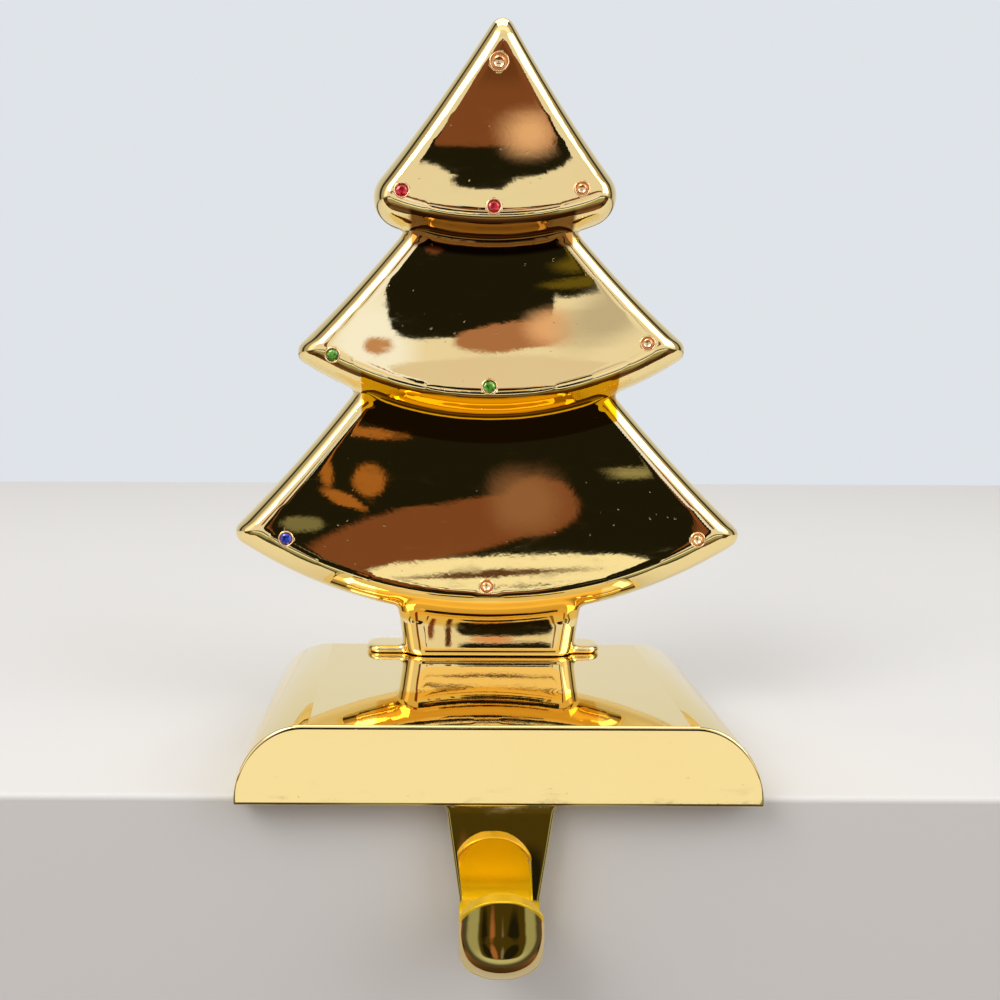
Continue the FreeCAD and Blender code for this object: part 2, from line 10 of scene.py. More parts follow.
import bmesh
import bpy
from mathutils import Matrix, Vector
from mathutils.bvhtree import BVHTree

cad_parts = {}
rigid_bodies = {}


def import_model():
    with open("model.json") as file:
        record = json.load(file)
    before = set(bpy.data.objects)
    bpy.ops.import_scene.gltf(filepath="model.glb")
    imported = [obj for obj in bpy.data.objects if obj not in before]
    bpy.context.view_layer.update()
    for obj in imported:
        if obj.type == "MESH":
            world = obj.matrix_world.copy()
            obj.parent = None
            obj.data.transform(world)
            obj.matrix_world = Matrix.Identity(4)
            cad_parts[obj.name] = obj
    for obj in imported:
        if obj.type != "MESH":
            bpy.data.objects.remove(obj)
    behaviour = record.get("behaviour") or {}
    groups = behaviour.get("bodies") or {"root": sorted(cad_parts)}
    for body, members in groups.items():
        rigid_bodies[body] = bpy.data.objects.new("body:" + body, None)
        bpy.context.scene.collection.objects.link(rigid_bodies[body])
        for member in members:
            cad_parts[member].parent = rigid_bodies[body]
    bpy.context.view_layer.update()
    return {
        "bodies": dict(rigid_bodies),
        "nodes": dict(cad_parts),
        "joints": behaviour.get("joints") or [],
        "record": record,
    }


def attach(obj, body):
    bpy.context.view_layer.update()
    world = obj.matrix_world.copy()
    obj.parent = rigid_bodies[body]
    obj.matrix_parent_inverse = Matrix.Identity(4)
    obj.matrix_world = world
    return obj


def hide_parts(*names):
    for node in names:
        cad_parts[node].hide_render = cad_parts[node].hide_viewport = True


Socket = bpy.types.NodeSocket
Triple = tuple[float, float, float]
Color = Triple
Tone = Union[Socket, Color]
Amount = Union[Socket, float]
Pair = tuple[float, float]
Circle = tuple[Vector, float]
Ring = list[Vector]

LOG = logging.getLogger("stocking_holder")
MM = 0.001
MERGE = 1e-4
FRONT_Y = -33.0
BASE_TOP = 17.0
TO_FRONT = Vector((0, -1, 0))
TO_BACK = Vector((0, 1, 0))


class Slot(Enum):
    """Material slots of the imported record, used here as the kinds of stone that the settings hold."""

    GOLD = "gold_casting"
    RED = "stone_red"
    GREEN = "stone_green"
    BLUE = "stone_blue"


class NodeKit:
    """Adds nodes to the tree of a material or of the world, and links them."""

    def __init__(self, tree: bpy.types.NodeTree) -> None:
        """Keeps the tree and adds texture coordinates.

        Args:
            tree: The node tree.
        """
        self.tree = tree
        self.coords = self.add("ShaderNodeTexCoord")

    def plug(self, value: object, socket: Socket) -> None:
        """Links a socket to an input, or writes a plain value there.

        Args:
            value: An output socket, or a number, colour or vector.
            socket: The input.
        """
        if isinstance(value, Socket):
            self.tree.links.new(value, socket)
        else:
            socket.default_value = value

    def write(self, node: bpy.types.Node, **values: object) -> bpy.types.Node:
        """Sets what a node needs.

        Args:
            node: The node.
            **values: Attributes, or input sockets with spaces written as underscores.

        Returns:
            The same node.
        """
        for key, value in values.items():
            if hasattr(node, key):
                setattr(node, key, value)
            else:
                self.plug(value, node.inputs[key.replace("_", " ")])
        return node

    def add(self, kind: str, **values: object) -> bpy.types.Node:
        """Adds a node of a kind and sets what it needs."""
        return self.write(self.tree.nodes.new(kind), **values)

    def split(self, vector: Socket) -> tuple[Socket, ...]:
        """The X, Y and Z of a vector."""
        return tuple(self.add("ShaderNodeSeparateXYZ", Vector=vector).outputs)

    def math(self, operation: str, a: Amount, b: Amount = 0.0) -> Socket:
        """A math node of one or two values, each a socket or a number.

        Args:
            operation: The operation's name.
            a: The first value.
            b: The second value.

        Returns:
            The result.
        """
        node = self.add("ShaderNodeMath", operation=operation)
        self.plug(a, node.inputs[0])
        self.plug(b, node.inputs[1])
        return node.outputs[0]

    def mix(self, factor: Socket, a: Tone, b: Tone) -> Socket:
        """Mixes two colours, each a socket or a plain colour."""
        a, b = (side if isinstance(side, Socket) else (*side, 1) for side in (a, b))
        return self.add("ShaderNodeMix", data_type="RGBA", Factor=factor, A=a, B=b).outputs["Result"]

    def span(self, source: Socket, low: float, high: float, to_low: float, to_high: float,
             smooth: bool = False) -> Socket:
        """Maps a range of a pattern to another range, clamped.

        Args:
            source: The pattern.
            low: Start of the source range.
            high: End of the source range.
            to_low: Value at the start.
            to_high: Value at the end.
            smooth: Whether the step is smoothed.

        Returns:
            The mapped value.
        """
        node = self.add("ShaderNodeMapRange", interpolation_type="SMOOTHSTEP" if smooth else "LINEAR")
        for value, socket in zip((source, low, high, to_low, to_high), node.inputs):
            self.plug(value, socket)
        return node.outputs[0]

    def noise(self, scale: float, detail: float = 2.0, stretch: Triple = (1, 1, 1),
              vector: Optional[Socket] = None) -> Socket:
        """A noise pattern.

        Args:
            scale: Cycles per unit of the coordinates.
            detail: Octaves.
            stretch: Scale along each axis.
            vector: The coordinates, or the object's own.

        Returns:
            The pattern, around a half.
        """
        place = self.coords.outputs["Object"] if vector is None else vector
        mapping = self.add("ShaderNodeMapping", Vector=place, Scale=stretch)
        return self.add("ShaderNodeTexNoise", Vector=mapping.outputs[0], Scale=scale, Detail=detail).outputs["Fac"]

    def bump(self, height: Socket, distance: float, before: Optional[Socket] = None) -> Socket:
        """A bump node, after another bump where one is given.

        Args:
            height: The height pattern.
            distance: Height of one unit of the pattern, in metres.
            before: The normal output of an earlier bump.

        Returns:
            The normal output.
        """
        node = self.add("ShaderNodeBump", Height=height, Distance=distance, Strength=1.0)
        if before is not None:
            self.plug(before, node.inputs["Normal"])
        return node.outputs["Normal"]

    def ramp(self, value: Socket, stops: tuple[tuple[float, Color], ...]) -> Socket:
        """A colour ramp over a value.

        Args:
            value: The value, from -1 to 1.
            stops: Places from -1 to 1 with their colours.

        Returns:
            The colour.
        """
        node = self.add("ShaderNodeValToRGB")
        self.plug(self.span(value, -1.0, 1.0, 0.0, 1.0), node.inputs[0])
        elements = node.color_ramp.elements
        while len(elements) < len(stops):
            elements.new(0.5)
        for element, (place, color) in zip(elements, stops):
            element.position = (place + 1) / 2
            element.color = (*color, 1)
        return node.outputs[0]


class FinishKit(NodeKit):
    """The nodes of a new material with a Principled shader."""

    def __init__(self, name: str) -> None:
        """Makes the material.

        Args:
            name: Its name.
        """
        self.material = bpy.data.materials.new(name)
        self.material.use_nodes = True
        super().__init__(self.material.node_tree)

    def shade(self, **values: object) -> bpy.types.Material:
        """Sets the shader's own sockets and gives the finished material."""
        self.write(self.tree.nodes["Principled BSDF"], **values)
        return self.material


@dataclass(frozen=True)
class PaintedReflectionZone:
    """A soft zone of the gold with a deeper painted tone, where the casting is hollow: painted reflection and painted
    shade, at times also rougher and less metallic.

    Limits are in millimetres on the object's axes. A ring is measured from an axis along Y, by its X and Z and
    its inner and outer radius, with the height multiplied by the oval.
    """

    color: Color
    limits: tuple[tuple[str, float, float], ...]
    ring: Optional[tuple[float, float, float, float]] = None
    oval: float = 1.0
    soft: float = 0.5
    roughness: float = 0.012
    metallic: float = 1.0

    def mask(self, kit: NodeKit) -> Socket:
        """How much of the zone there is at each point.

        Args:
            kit: The material's nodes.

        Returns:
            A value from 0 to 1.
        """
        axes = dict(zip("XYZ", kit.split(kit.coords.outputs["Object"])))
        spans = [(axes[axis], low, high) for axis, low, high in self.limits]
        if self.ring:
            x, z, low, high = self.ring
            off_x = kit.math("ADD", axes["X"], -x * MM)
            off_z = kit.math("MULTIPLY", kit.math("ADD", axes["Z"], -z * MM), self.oval)
            square = kit.math("ADD", kit.math("POWER", off_x, 2.0), kit.math("POWER", off_z, 2.0))
            spans.append((kit.math("SQRT", square), low, high))
        mask: Amount = 1.0
        for value, low, high in spans:
            rise = kit.span(value, (low - self.soft) * MM, (low + self.soft) * MM, 0.0, 1.0, True)
            fall = kit.span(value, (high - self.soft) * MM, (high + self.soft) * MM, 1.0, 0.0, True)
            mask = kit.math("MULTIPLY", mask, kit.math("MULTIPLY", rise, fall))
        return mask


@dataclass(frozen=True)
class PolishedGold:
    """Light gold plating over a polished casting: a mirror with slow waves, fine pores and faint handling marks.

    Scales are in cycles per metre and heights in metres.
    """

    name: str
    color: Color = (0.95, 0.762, 0.36)
    worn_color: Color = (0.92, 0.7, 0.31)
    worn_share: float = 0.35
    worn_scale: float = 38.0
    roughness: float = 0.012
    haze_scale: float = 24.0
    haze_more: float = 0.02
    mark_scale: float = 420.0
    mark_more: float = 0.05
    wave_scale: float = 55.0
    wave_height: float = 0.000022
    grain_scale: float = 900.0
    grain_height: float = 0.0000012
    pore_depth: float = 0.000004
    # Zones of painted reflection and painted shade laid over the gold.
    zones: tuple[PaintedReflectionZone, ...] = ()

    def build(self) -> bpy.types.Material:
        """Makes the material.

        Returns:
            A new material.
        """
        kit = FinishKit(self.name)
        worn = kit.span(kit.noise(self.worn_scale, 3.0), 0.45, 0.75, 0.0, self.worn_share)
        tone = kit.mix(worn, self.color, self.worn_color)
        marks = kit.span(kit.noise(self.mark_scale, 4.0, (0.35, 1.0, 1.0)), 0.56, 0.8, 0.0, self.mark_more)
        haze = kit.span(kit.noise(self.haze_scale), 0.35, 0.8, self.roughness, self.roughness + self.haze_more)
        rough = kit.math("ADD", marks, haze)
        metal: Amount = 1.0
        # Each zone lays its painted reflection and shade colour over the gold, and may make it rougher and less
        # metallic.
        for zone in self.zones:
            mask = zone.mask(kit)
            tone = kit.mix(mask, tone, zone.color)
            rough = kit.math("MAXIMUM", rough, kit.math("MULTIPLY", mask, zone.roughness))
            if zone.metallic < 1.0:
                metal = kit.math("SUBTRACT", metal, kit.math("MULTIPLY", mask, 1 - zone.metallic))
        waves = kit.bump(kit.noise(self.wave_scale, 1.0), self.wave_height)
        grain = kit.bump(kit.noise(self.grain_scale), self.grain_height, waves)
        pores = kit.span(kit.noise(self.grain_scale, 0.0), 0.83, 0.86, 0.0, 1.0, True)
        return kit.shade(Base_Color=tone, Roughness=rough, Metallic=metal,
                         Normal=kit.bump(pores, -self.pore_depth, grain))


@dataclass(frozen=True)
class CutStone:
    """A small faceted glass stone with a foil behind it."""

    name: str
    color: Color
    deep: Color
    cloud_scale: float = 900.0
    wear_scale: float = 2600.0
    wear_height: float = 0.000004

    def build(self) -> bpy.types.Material:
        """Makes the material.

        Returns:
            A new material.
        """
        kit = FinishKit(self.name)
        tone = kit.mix(kit.span(kit.noise(self.cloud_scale, 1.0), 0.4, 0.62, 0.0, 1.0), self.color, self.deep)
        wear = kit.bump(kit.noise(self.wear_scale, 1.0), self.wear_height)
        return kit.shade(Base_Color=tone, Roughness=0.06, IOR=1.62, Metallic=0.35, Coat_Weight=1.0,
                         Coat_Roughness=0.02, Normal=wear)


@dataclass(frozen=True)
class PlainFinish:
    """A matt or satin finish with mottled colour, for the pad and the screws."""

    name: str
    light: Color
    dark: Color
    roughness: float
    metallic: float
    grain_scale: float
    grain_height: float
    uneven: float = 0.08

    def build(self) -> bpy.types.Material:
        """Makes the material.

        Returns:
            A new material.
        """
        kit = FinishKit(self.name)
        tone = kit.mix(kit.span(kit.noise(self.grain_scale / 4, 3.0), 0.35, 0.7, 0.0, 1.0), self.light, self.dark)
        grain = kit.noise(self.grain_scale, 3.0)
        rough = kit.span(grain, 0.3, 0.7, self.roughness - self.uneven, self.roughness + self.uneven)
        return kit.shade(Base_Color=tone, Roughness=rough, Metallic=self.metallic,
                         Normal=kit.bump(grain, self.grain_height))


def flat(x: float, z: float) -> Vector:
    """A point of the front view, with x to the right and y for the height."""
    return Vector((x, z))


def middle_of(points: Ring) -> Vector:
    """The mean of points of the front view."""
    return sum(points, flat(0, 0)) / len(points)


def bowed_circle(a: Vector, b: Vector, bow: float, inward: Vector) -> Circle:
    """The circle through two points that stands off its chord by a bow.

    Args:
        a: First point.
        b: Second point.
        bow: Height of the arc over its chord.
        inward: A point on the side that the arc bows to.

    Returns:
        Centre and radius.
    """
    chord = b - a
    middle = (a + b) / 2
    normal = Vector((-chord.y, chord.x)).normalized()
    if normal.dot(inward - middle) < 0:
        normal = -normal
    radius = (chord.length ** 2 / 4 + bow ** 2) / (2 * bow)
    return middle - normal * (radius - bow), radius


def crossing(first: Circle, second: Circle, near: Vector) -> Vector:
    """The crossing of two circles that is nearer to a point.

    Args:
        first: Centre and radius.
        second: Centre and radius.
        near: The point to be near to.

    Returns:
        The crossing point.
    """
    between = second[0] - first[0]
    gap = between.length
    along = (gap ** 2 + first[1] ** 2 - second[1] ** 2) / (2 * gap)
    across = math.sqrt(max(first[1] ** 2 - along ** 2, 0.0))
    foot = first[0] + between.normalized() * along
    side = Vector((-between.y, between.x)).normalized() * across
    return min((foot + side, foot - side), key=lambda p: (p - near).length)


def on_circle(circle: Circle, towards: Vector) -> Vector:
    """The point of a circle in the direction of another point."""
    return circle[0] + (towards - circle[0]).normalized() * circle[1]


def arc_points(centre: Vector, start: Vector, end: Vector, count: int) -> Ring:
    """Evenly spaced points of the short arc, without its end.

    Args:
        centre: Centre of the arc.
        start: First point.
        end: Last point, which is left out.
        count: Number of points.

    Returns:
        The points.
    """
    radius = (start - centre).length
    first = math.atan2(start.y - centre.y, start.x - centre.x)
    sweep = math.atan2(end.y - centre.y, end.x - centre.x) - first
    sweep = (sweep + math.pi) % (2 * math.pi) - math.pi
    turns = [first + sweep * i / count for i in range(count)]
    return [centre + radius * Vector((math.cos(t), math.sin(t))) for t in turns]


def shade_faces(mesh: bpy.types.Mesh, smooth: bool) -> None:
    """Shades all faces of a mesh smooth or flat."""
    mesh.polygons.foreach_set("use_smooth", [smooth] * len(mesh.polygons))


class Mesher:
    """Builds closed shells in millimetres and turns them into a named object of the part."""

    def __init__(self) -> None:
        """Starts an empty mesh."""
        self.bm = bmesh.new()

    def ring(self, points: Iterable[Vector]) -> list[bmesh.types.BMEdge]:
        """A closed ring of edges through points, in order."""
        verts = [self.bm.verts.new(p) for p in points]
        return [self.bm.edges.new(pair) for pair in zip(verts, verts[1:] + verts[:1])]

    def loft(self, rings: list[Ring]) -> None:
        """Bridges rings of equal length one after the other and closes both ends.

        Args:
            rings: The rings of points.
        """
        loops = [self.ring(points) for points in rings]
        for low, high in zip(loops, loops[1:]):
            bmesh.ops.bridge_loops(self.bm, edges=low + high)
        for loop in (loops[0], loops[-1]):
            bmesh.ops.contextual_create(self.bm, geom=loop)

    def spin(self, profile: list[Pair], steps: int) -> None:
        """Spins a profile round the upright axis.

        Args:
            profile: Radius and height pairs, from the axis outwards and back to it.
            steps: Steps of the full turn.
        """
        verts = [self.bm.verts.new((r, 0, h)) for r, h in profile]
        edges = [self.bm.edges.new(pair) for pair in zip(verts, verts[1:])]
        bmesh.ops.spin(self.bm, geom=verts + edges, cent=(0, 0, 0), axis=(0, 0, 1), angle=2 * math.pi,
                       steps=steps, use_merge=True)
        bmesh.ops.remove_doubles(self.bm, verts=self.bm.verts, dist=MERGE)

    def box(self, size: Vector, place: Vector) -> list[bmesh.types.BMVert]:
        """A box around a place.

        Args:
            size: Its size along each axis.
            place: Its middle.

        Returns:
            Its corners.
        """
        verts = bmesh.ops.create_cube(self.bm, size=1.0)["verts"]
        bmesh.ops.scale(self.bm, vec=size, verts=verts)
        bmesh.ops.translate(self.bm, vec=place, verts=verts)
        return verts

    def bevel(self, edges: Iterable[bmesh.types.BMEdge], offset: float, segments: int, clamp: bool = False) -> None:
        """Rounds edges with a bevel."""
        bmesh.ops.bevel(self.bm, geom=list(edges), offset=offset, segments=segments, profile=0.5, affect="EDGES",
                        material=-1, clamp_overlap=clamp)

    def finish(self, name: str, smooth: bool = True) -> bpy.types.Object:
        """Scales the mesh to metres and makes it an object with outward faces.

        Args:
            name: The object's name.
            smooth: Whether its faces are shaded smooth.

        Returns:
            The object, linked to the scene.
        """
        bmesh.ops.remove_doubles(self.bm, verts=self.bm.verts, dist=MERGE)
        bmesh.ops.recalc_face_normals(self.bm, faces=self.bm.faces)
        bmesh.ops.scale(self.bm, vec=(MM, MM, MM), verts=self.bm.verts)
        mesh = bpy.data.meshes.new(name)
        self.bm.to_mesh(mesh)
        self.bm.free()
        shade_faces(mesh, smooth)
        piece = bpy.data.objects.new(name, mesh)
        bpy.context.scene.collection.objects.link(piece)
        return piece


def apply_modifiers(piece: bpy.types.Object) -> None:
    """Puts what a piece's modifiers make into its mesh, and removes them."""
    graph = bpy.context.evaluated_depsgraph_get()
    mesh = bpy.data.meshes.new_from_object(piece.evaluated_get(graph))
    piece.modifiers.clear()
    old = piece.data
    piece.data = mesh
    bpy.data.meshes.remove(old)


def combine(piece: bpy.types.Object, other: bpy.types.Object, operation: str) -> None:
    """Joins another object to a piece or cuts it out, and removes the other.

    Args:
        piece: The piece.
        other: A temporary object.
        operation: UNION or DIFFERENCE.
    """
    step = piece.modifiers.new(other.name, "BOOLEAN")
    step.operation, step.solver, step.object = operation, "EXACT", other
    apply_modifiers(piece)
    bpy.data.objects.remove(other)


def relax(bm: bmesh.types.BMesh, verts: Iterable[bmesh.types.BMVert], times: int, axes: str = "xyz") -> None:
    """Smooths vertices along the named axes.

    Args:
        bm: The mesh.
        verts: Its vertices to smooth.
        times: How often.
        axes: Letters of the axes along which they move.
    """
    for _ in range(times):
        bmesh.ops.smooth_vert(bm, verts=verts, factor=0.5, **{"use_axis_" + axis: True for axis in axes})


def hand_over(piece: bpy.types.Object, material: bpy.types.Material, node: Optional[str] = None) -> None:
    """Dresses a finished piece, puts it on the body and reports it.

    Args:
        piece: The piece.
        material: Its finish.
        node: The CAD node that it replaces.
    """
    piece.data.materials.clear()
    piece.data.materials.append(material)
    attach(piece, "root")
    if node:
        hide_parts(node)
    LOG.info("%s: %d faces", piece.name, len(piece.data.polygons))


@dataclass
class TierForm:
    """One tier of the tree: bowed sides and lower edge, a rolled rim and a shallow dish for a face.

    The corner points are the sharp ones before rounding, in the front view, in millimetres.
    """

    top_left: Vector
    top_right: Vector
    corner_left: Vector
    corner_right: Vector
    low_middle: Vector
    low_radius: float
    corner_round: float
    side_bow: float
    top_depth: float
    low_depth: float
    dish_top: float
    apex_round: Optional[float] = None
    middle_y: float = 26.0
    back_depth: float = 6.6
    back_round: float = 3.0
    side_roll: float = 4.0
    low_roll: float = 6.2
    crease_round: float = 1.0
    overlap: float = 9.0
    roll_end: float = 74.0
    dish_depth: float = 1.2
    side_count: int = 40
    corner_count: int = 16
    low_count: int = 84
    top_count: int = 16
    back_step: int = 15
    roll_steps: int = 12
    face_steps: int = 26
    back_shares: tuple[float, ...] = (0.02, 0.5, 0.97)

    def __post_init__(self) -> None:
        """Works out the bounding circles."""
        centre = (self.top_left + self.top_right + self.corner_left + self.corner_right) / 4
        self.low = (self.low_middle + flat(0, self.low_radius), self.low_radius)
        self.left = bowed_circle(self.top_left, self.corner_left, self.side_bow, centre)
        self.right = bowed_circle(self.top_right, self.corner_right, self.side_bow, centre)
        self.top_z = self.top_left.y + (0.0 if self.apex_round else self.overlap)

    @staticmethod
    def _corner(side: Circle, low: Circle, corner: Vector, radius: float) -> tuple[Vector, Vector, Vector]:
        """End on the side, centre and end on the lower edge of a rounded corner."""
        hub = crossing((low[0], low[1] - radius), (side[0], side[1] + radius), corner)
        return on_circle(side, hub), hub, on_circle(low, hub)

    def _top(self, left: Circle, right: Circle, inset: float, share: float) -> tuple[Vector, Optional[Vector], Vector]:
        """The outline's upper end.

        Args:
            left: Circle of the left side.
            right: Circle of the right side.
            inset: How far the sides are drawn in.
            share: Share of the rolled rim.

        Returns:
            Upper end of the left side, centre of the apex round if there is one, and upper end of the right side.
        """
        if self.apex_round:
            radius = self.apex_round + (self.crease_round - self.apex_round) * share
            below = self.top_left - flat(0, 2 * radius + 2 * inset)
            hub = crossing((left[0], left[1] + radius), (right[0], right[1] + radius), below)
            return on_circle(left, hub), hub, on_circle(right, hub)
        ends = []
        for (centre, radius), side in ((left, 1), (right, -1)):
            reach = math.sqrt(radius ** 2 - (self.top_z - centre.y) ** 2)
            ends.append(flat(centre.x + side * reach, self.top_z))
        return ends[0], None, ends[1]

    def outline(self, share: float, roll_side: float, roll_low: float) -> Ring:
        """The tier's outline at a share of the rolled rim, 0 outside and 1 at the crease.

        Args:
            share: The share.
            roll_side: Width of the rim along the sides.
            roll_low: Width of the rim along the lower edge.

        Returns:
            Points of the front view, always as many.
        """
        inset = roll_side * share
        left, right = ((centre, radius + inset) for centre, radius in (self.left, self.right))
        low = (self.low[0], self.low[1] - roll_low * share)
        radius = self.corner_round + (self.crease_round - self.corner_round) * share
        top_left, apex, top_right = self._top(left, right, inset, share)
        a, hub_a, b = self._corner(left, low, self.corner_left, radius)
        d, hub_d, c = self._corner(right, low, self.corner_right, radius)
        points = arc_points(left[0], top_left, a, self.side_count)
        points += arc_points(hub_a, a, b, self.corner_count)
        points += arc_points(low[0], b, c, self.low_count)
        points += arc_points(hub_d, c, d, self.corner_count)
        points += arc_points(right[0], d, top_right, self.side_count)
        if apex is None:
            return points + [top_right.lerp(top_left, i / self.top_count) for i in range(self.top_count)]
        return points + arc_points(apex, top_right, top_left, self.top_count)

    def front_depth(self, z: float) -> float:
        """How far the face stands in front of the middle plane, with its long shallow hollow.

        Args:
            z: The height.

        Returns:
            The depth.
        """
        share = (self.top_z - z) / (self.top_z - self.low_middle.y)
        low_z = self.low_middle.y + self.low_roll
        low, high = max(z - low_z, 0.0), max(self.dish_top - z, 0.0)
        dish = 4 * self.dish_depth * low * high / (self.dish_top - low_z) ** 2
        return self.top_depth + (self.low_depth - self.top_depth) * share - dish

    def back_ring(self, points: Ring, behind: float) -> Ring:
        """A ring at a distance behind the middle plane."""
        return [Vector((p.x, self.middle_y + behind, p.y)) for p in points]

    def face_ring(self, points: Ring, out: float = 1.0) -> Ring:
        """A ring in front of the middle plane, at a share of the face's depth."""
        return [Vector((p.x, self.middle_y - out * self.front_depth(p.y), p.y)) for p in points]

    def rings(self) -> list[Ring]:
        """All rings from the middle of the back to the middle of the face.

        Returns:
            The rings in order.
        """
        back = self.outline(1.0, self.back_round, self.back_round)
        middle = middle_of(back)
        rings = [self.back_ring([middle.lerp(p, share) for p in back], self.back_depth) for share in self.back_shares]
        for degrees in range(90, -1, -self.back_step):
            angle = math.radians(degrees)
            points = self.outline(1 - math.cos(angle), self.back_round, self.back_round)
            rings.append(self.back_ring(points, self.back_depth - self.back_round * (1 - math.sin(angle))))
        end = math.radians(self.roll_end)
        for step in range(self.roll_steps + 1):
            angle = end * step / self.roll_steps
            points = self.outline((1 - math.cos(angle)) / (1 - math.cos(end)), self.side_roll, self.low_roll)
            rings.append(self.face_ring(points, math.sin(angle) / math.sin(end)))
        crease = self.outline(1.0, self.side_roll, self.low_roll)
        middle = middle_of(crease)
        for step in range(1, self.face_steps):
            rings.append(self.face_ring([p.lerp(middle, step / self.face_steps) for p in crease]))
        return rings


@dataclass
class TrunkForm:
    """The trunk and the flat foot that shows as an ear on each side of it."""

    centre_x: float = 0.9
    top_width: float = 46.6
    foot_width: float = 42.0
    top_z: float = 33.0
    front_y: float = 19.5
    back_y: float = 32.6
    front_round: float = 5.0
    back_round: float = 3.0
    edge_round: float = 1.0
    ear_length: float = 58.4
    ear_depth: float = 9.8
    ear_height: float = 1.9
    ear_centre: float = -0.4
    ear_round: float = 3.6
    ear_edge: float = 0.6
    sharp_turn: float = 0.5
    corner_count: int = 10
    side_count: int = 8

    def section(self, inset: float, z: float) -> Ring:
        """The trunk's rectangle with rounded corners.

        Args:
            inset: How far it is drawn in all round.
            z: The height.

        Returns:
            The ring of points.
        """
        share = (z - BASE_TOP) / (self.top_z - BASE_TOP)
        half = (self.foot_width + (self.top_width - self.foot_width) * share) / 2
        front, back = self.front_y + inset, self.back_y - inset
        points = []
        corners = ((1, back, -self.back_round), (-1, back, -self.back_round),
                   (-1, front, self.front_round), (1, front, self.front_round))
        for index, (side, y, turn_in) in enumerate(corners):
            radius = abs(turn_in) - inset
            hub = Vector((self.centre_x + side * (half - inset - radius), y + math.copysign(radius, turn_in), z))
            for step in range(self.corner_count + 1):
                angle = math.radians(90 * (index + step / self.corner_count))
                points.append(hub + radius * Vector((math.cos(angle), math.sin(angle), 0)))
        return points

    def rings(self) -> list[Ring]:
        """The trunk's rings from its foot to inside the lowest tier.

        Returns:
            The rings in order.
        """
        rings = []
        for degrees in (0, 30, 60, 90):
            angle = math.radians(degrees)
            rings.append(self.section(self.edge_round * (1 - math.sin(angle)),
                                      BASE_TOP + self.edge_round * (1 - math.cos(angle))))
        start = BASE_TOP + self.edge_round
        for step in range(1, self.side_count + 1):
            rings.append(self.section(0.0, start + (self.top_z - start) * step / self.side_count))
        return rings

    def add_ears(self, mesher: Mesher) -> None:
        """Adds the flat foot as a plate with rounded corners and a rounded upper edge.

        Args:
            mesher: The mesh to add to.
        """
        place = Vector((self.ear_centre, self.back_y - self.ear_depth / 2, BASE_TOP + self.ear_height / 2))
        made = mesher.box(Vector((self.ear_length, self.ear_depth, self.ear_height)), place)
        mesher.bevel([e for e in {e for v in made for e in v.link_edges}
                      if abs(e.verts[0].co.z - e.verts[1].co.z) > self.ear_height / 2], self.ear_round, 8)
        top = BASE_TOP + self.ear_height
        mesher.bevel([e for e in mesher.bm.edges if all(abs(v.co.z - top) < 1e-3 for v in e.verts)
                      and e.is_manifold and e.calc_face_angle(0) > self.sharp_turn], self.ear_edge, 4)


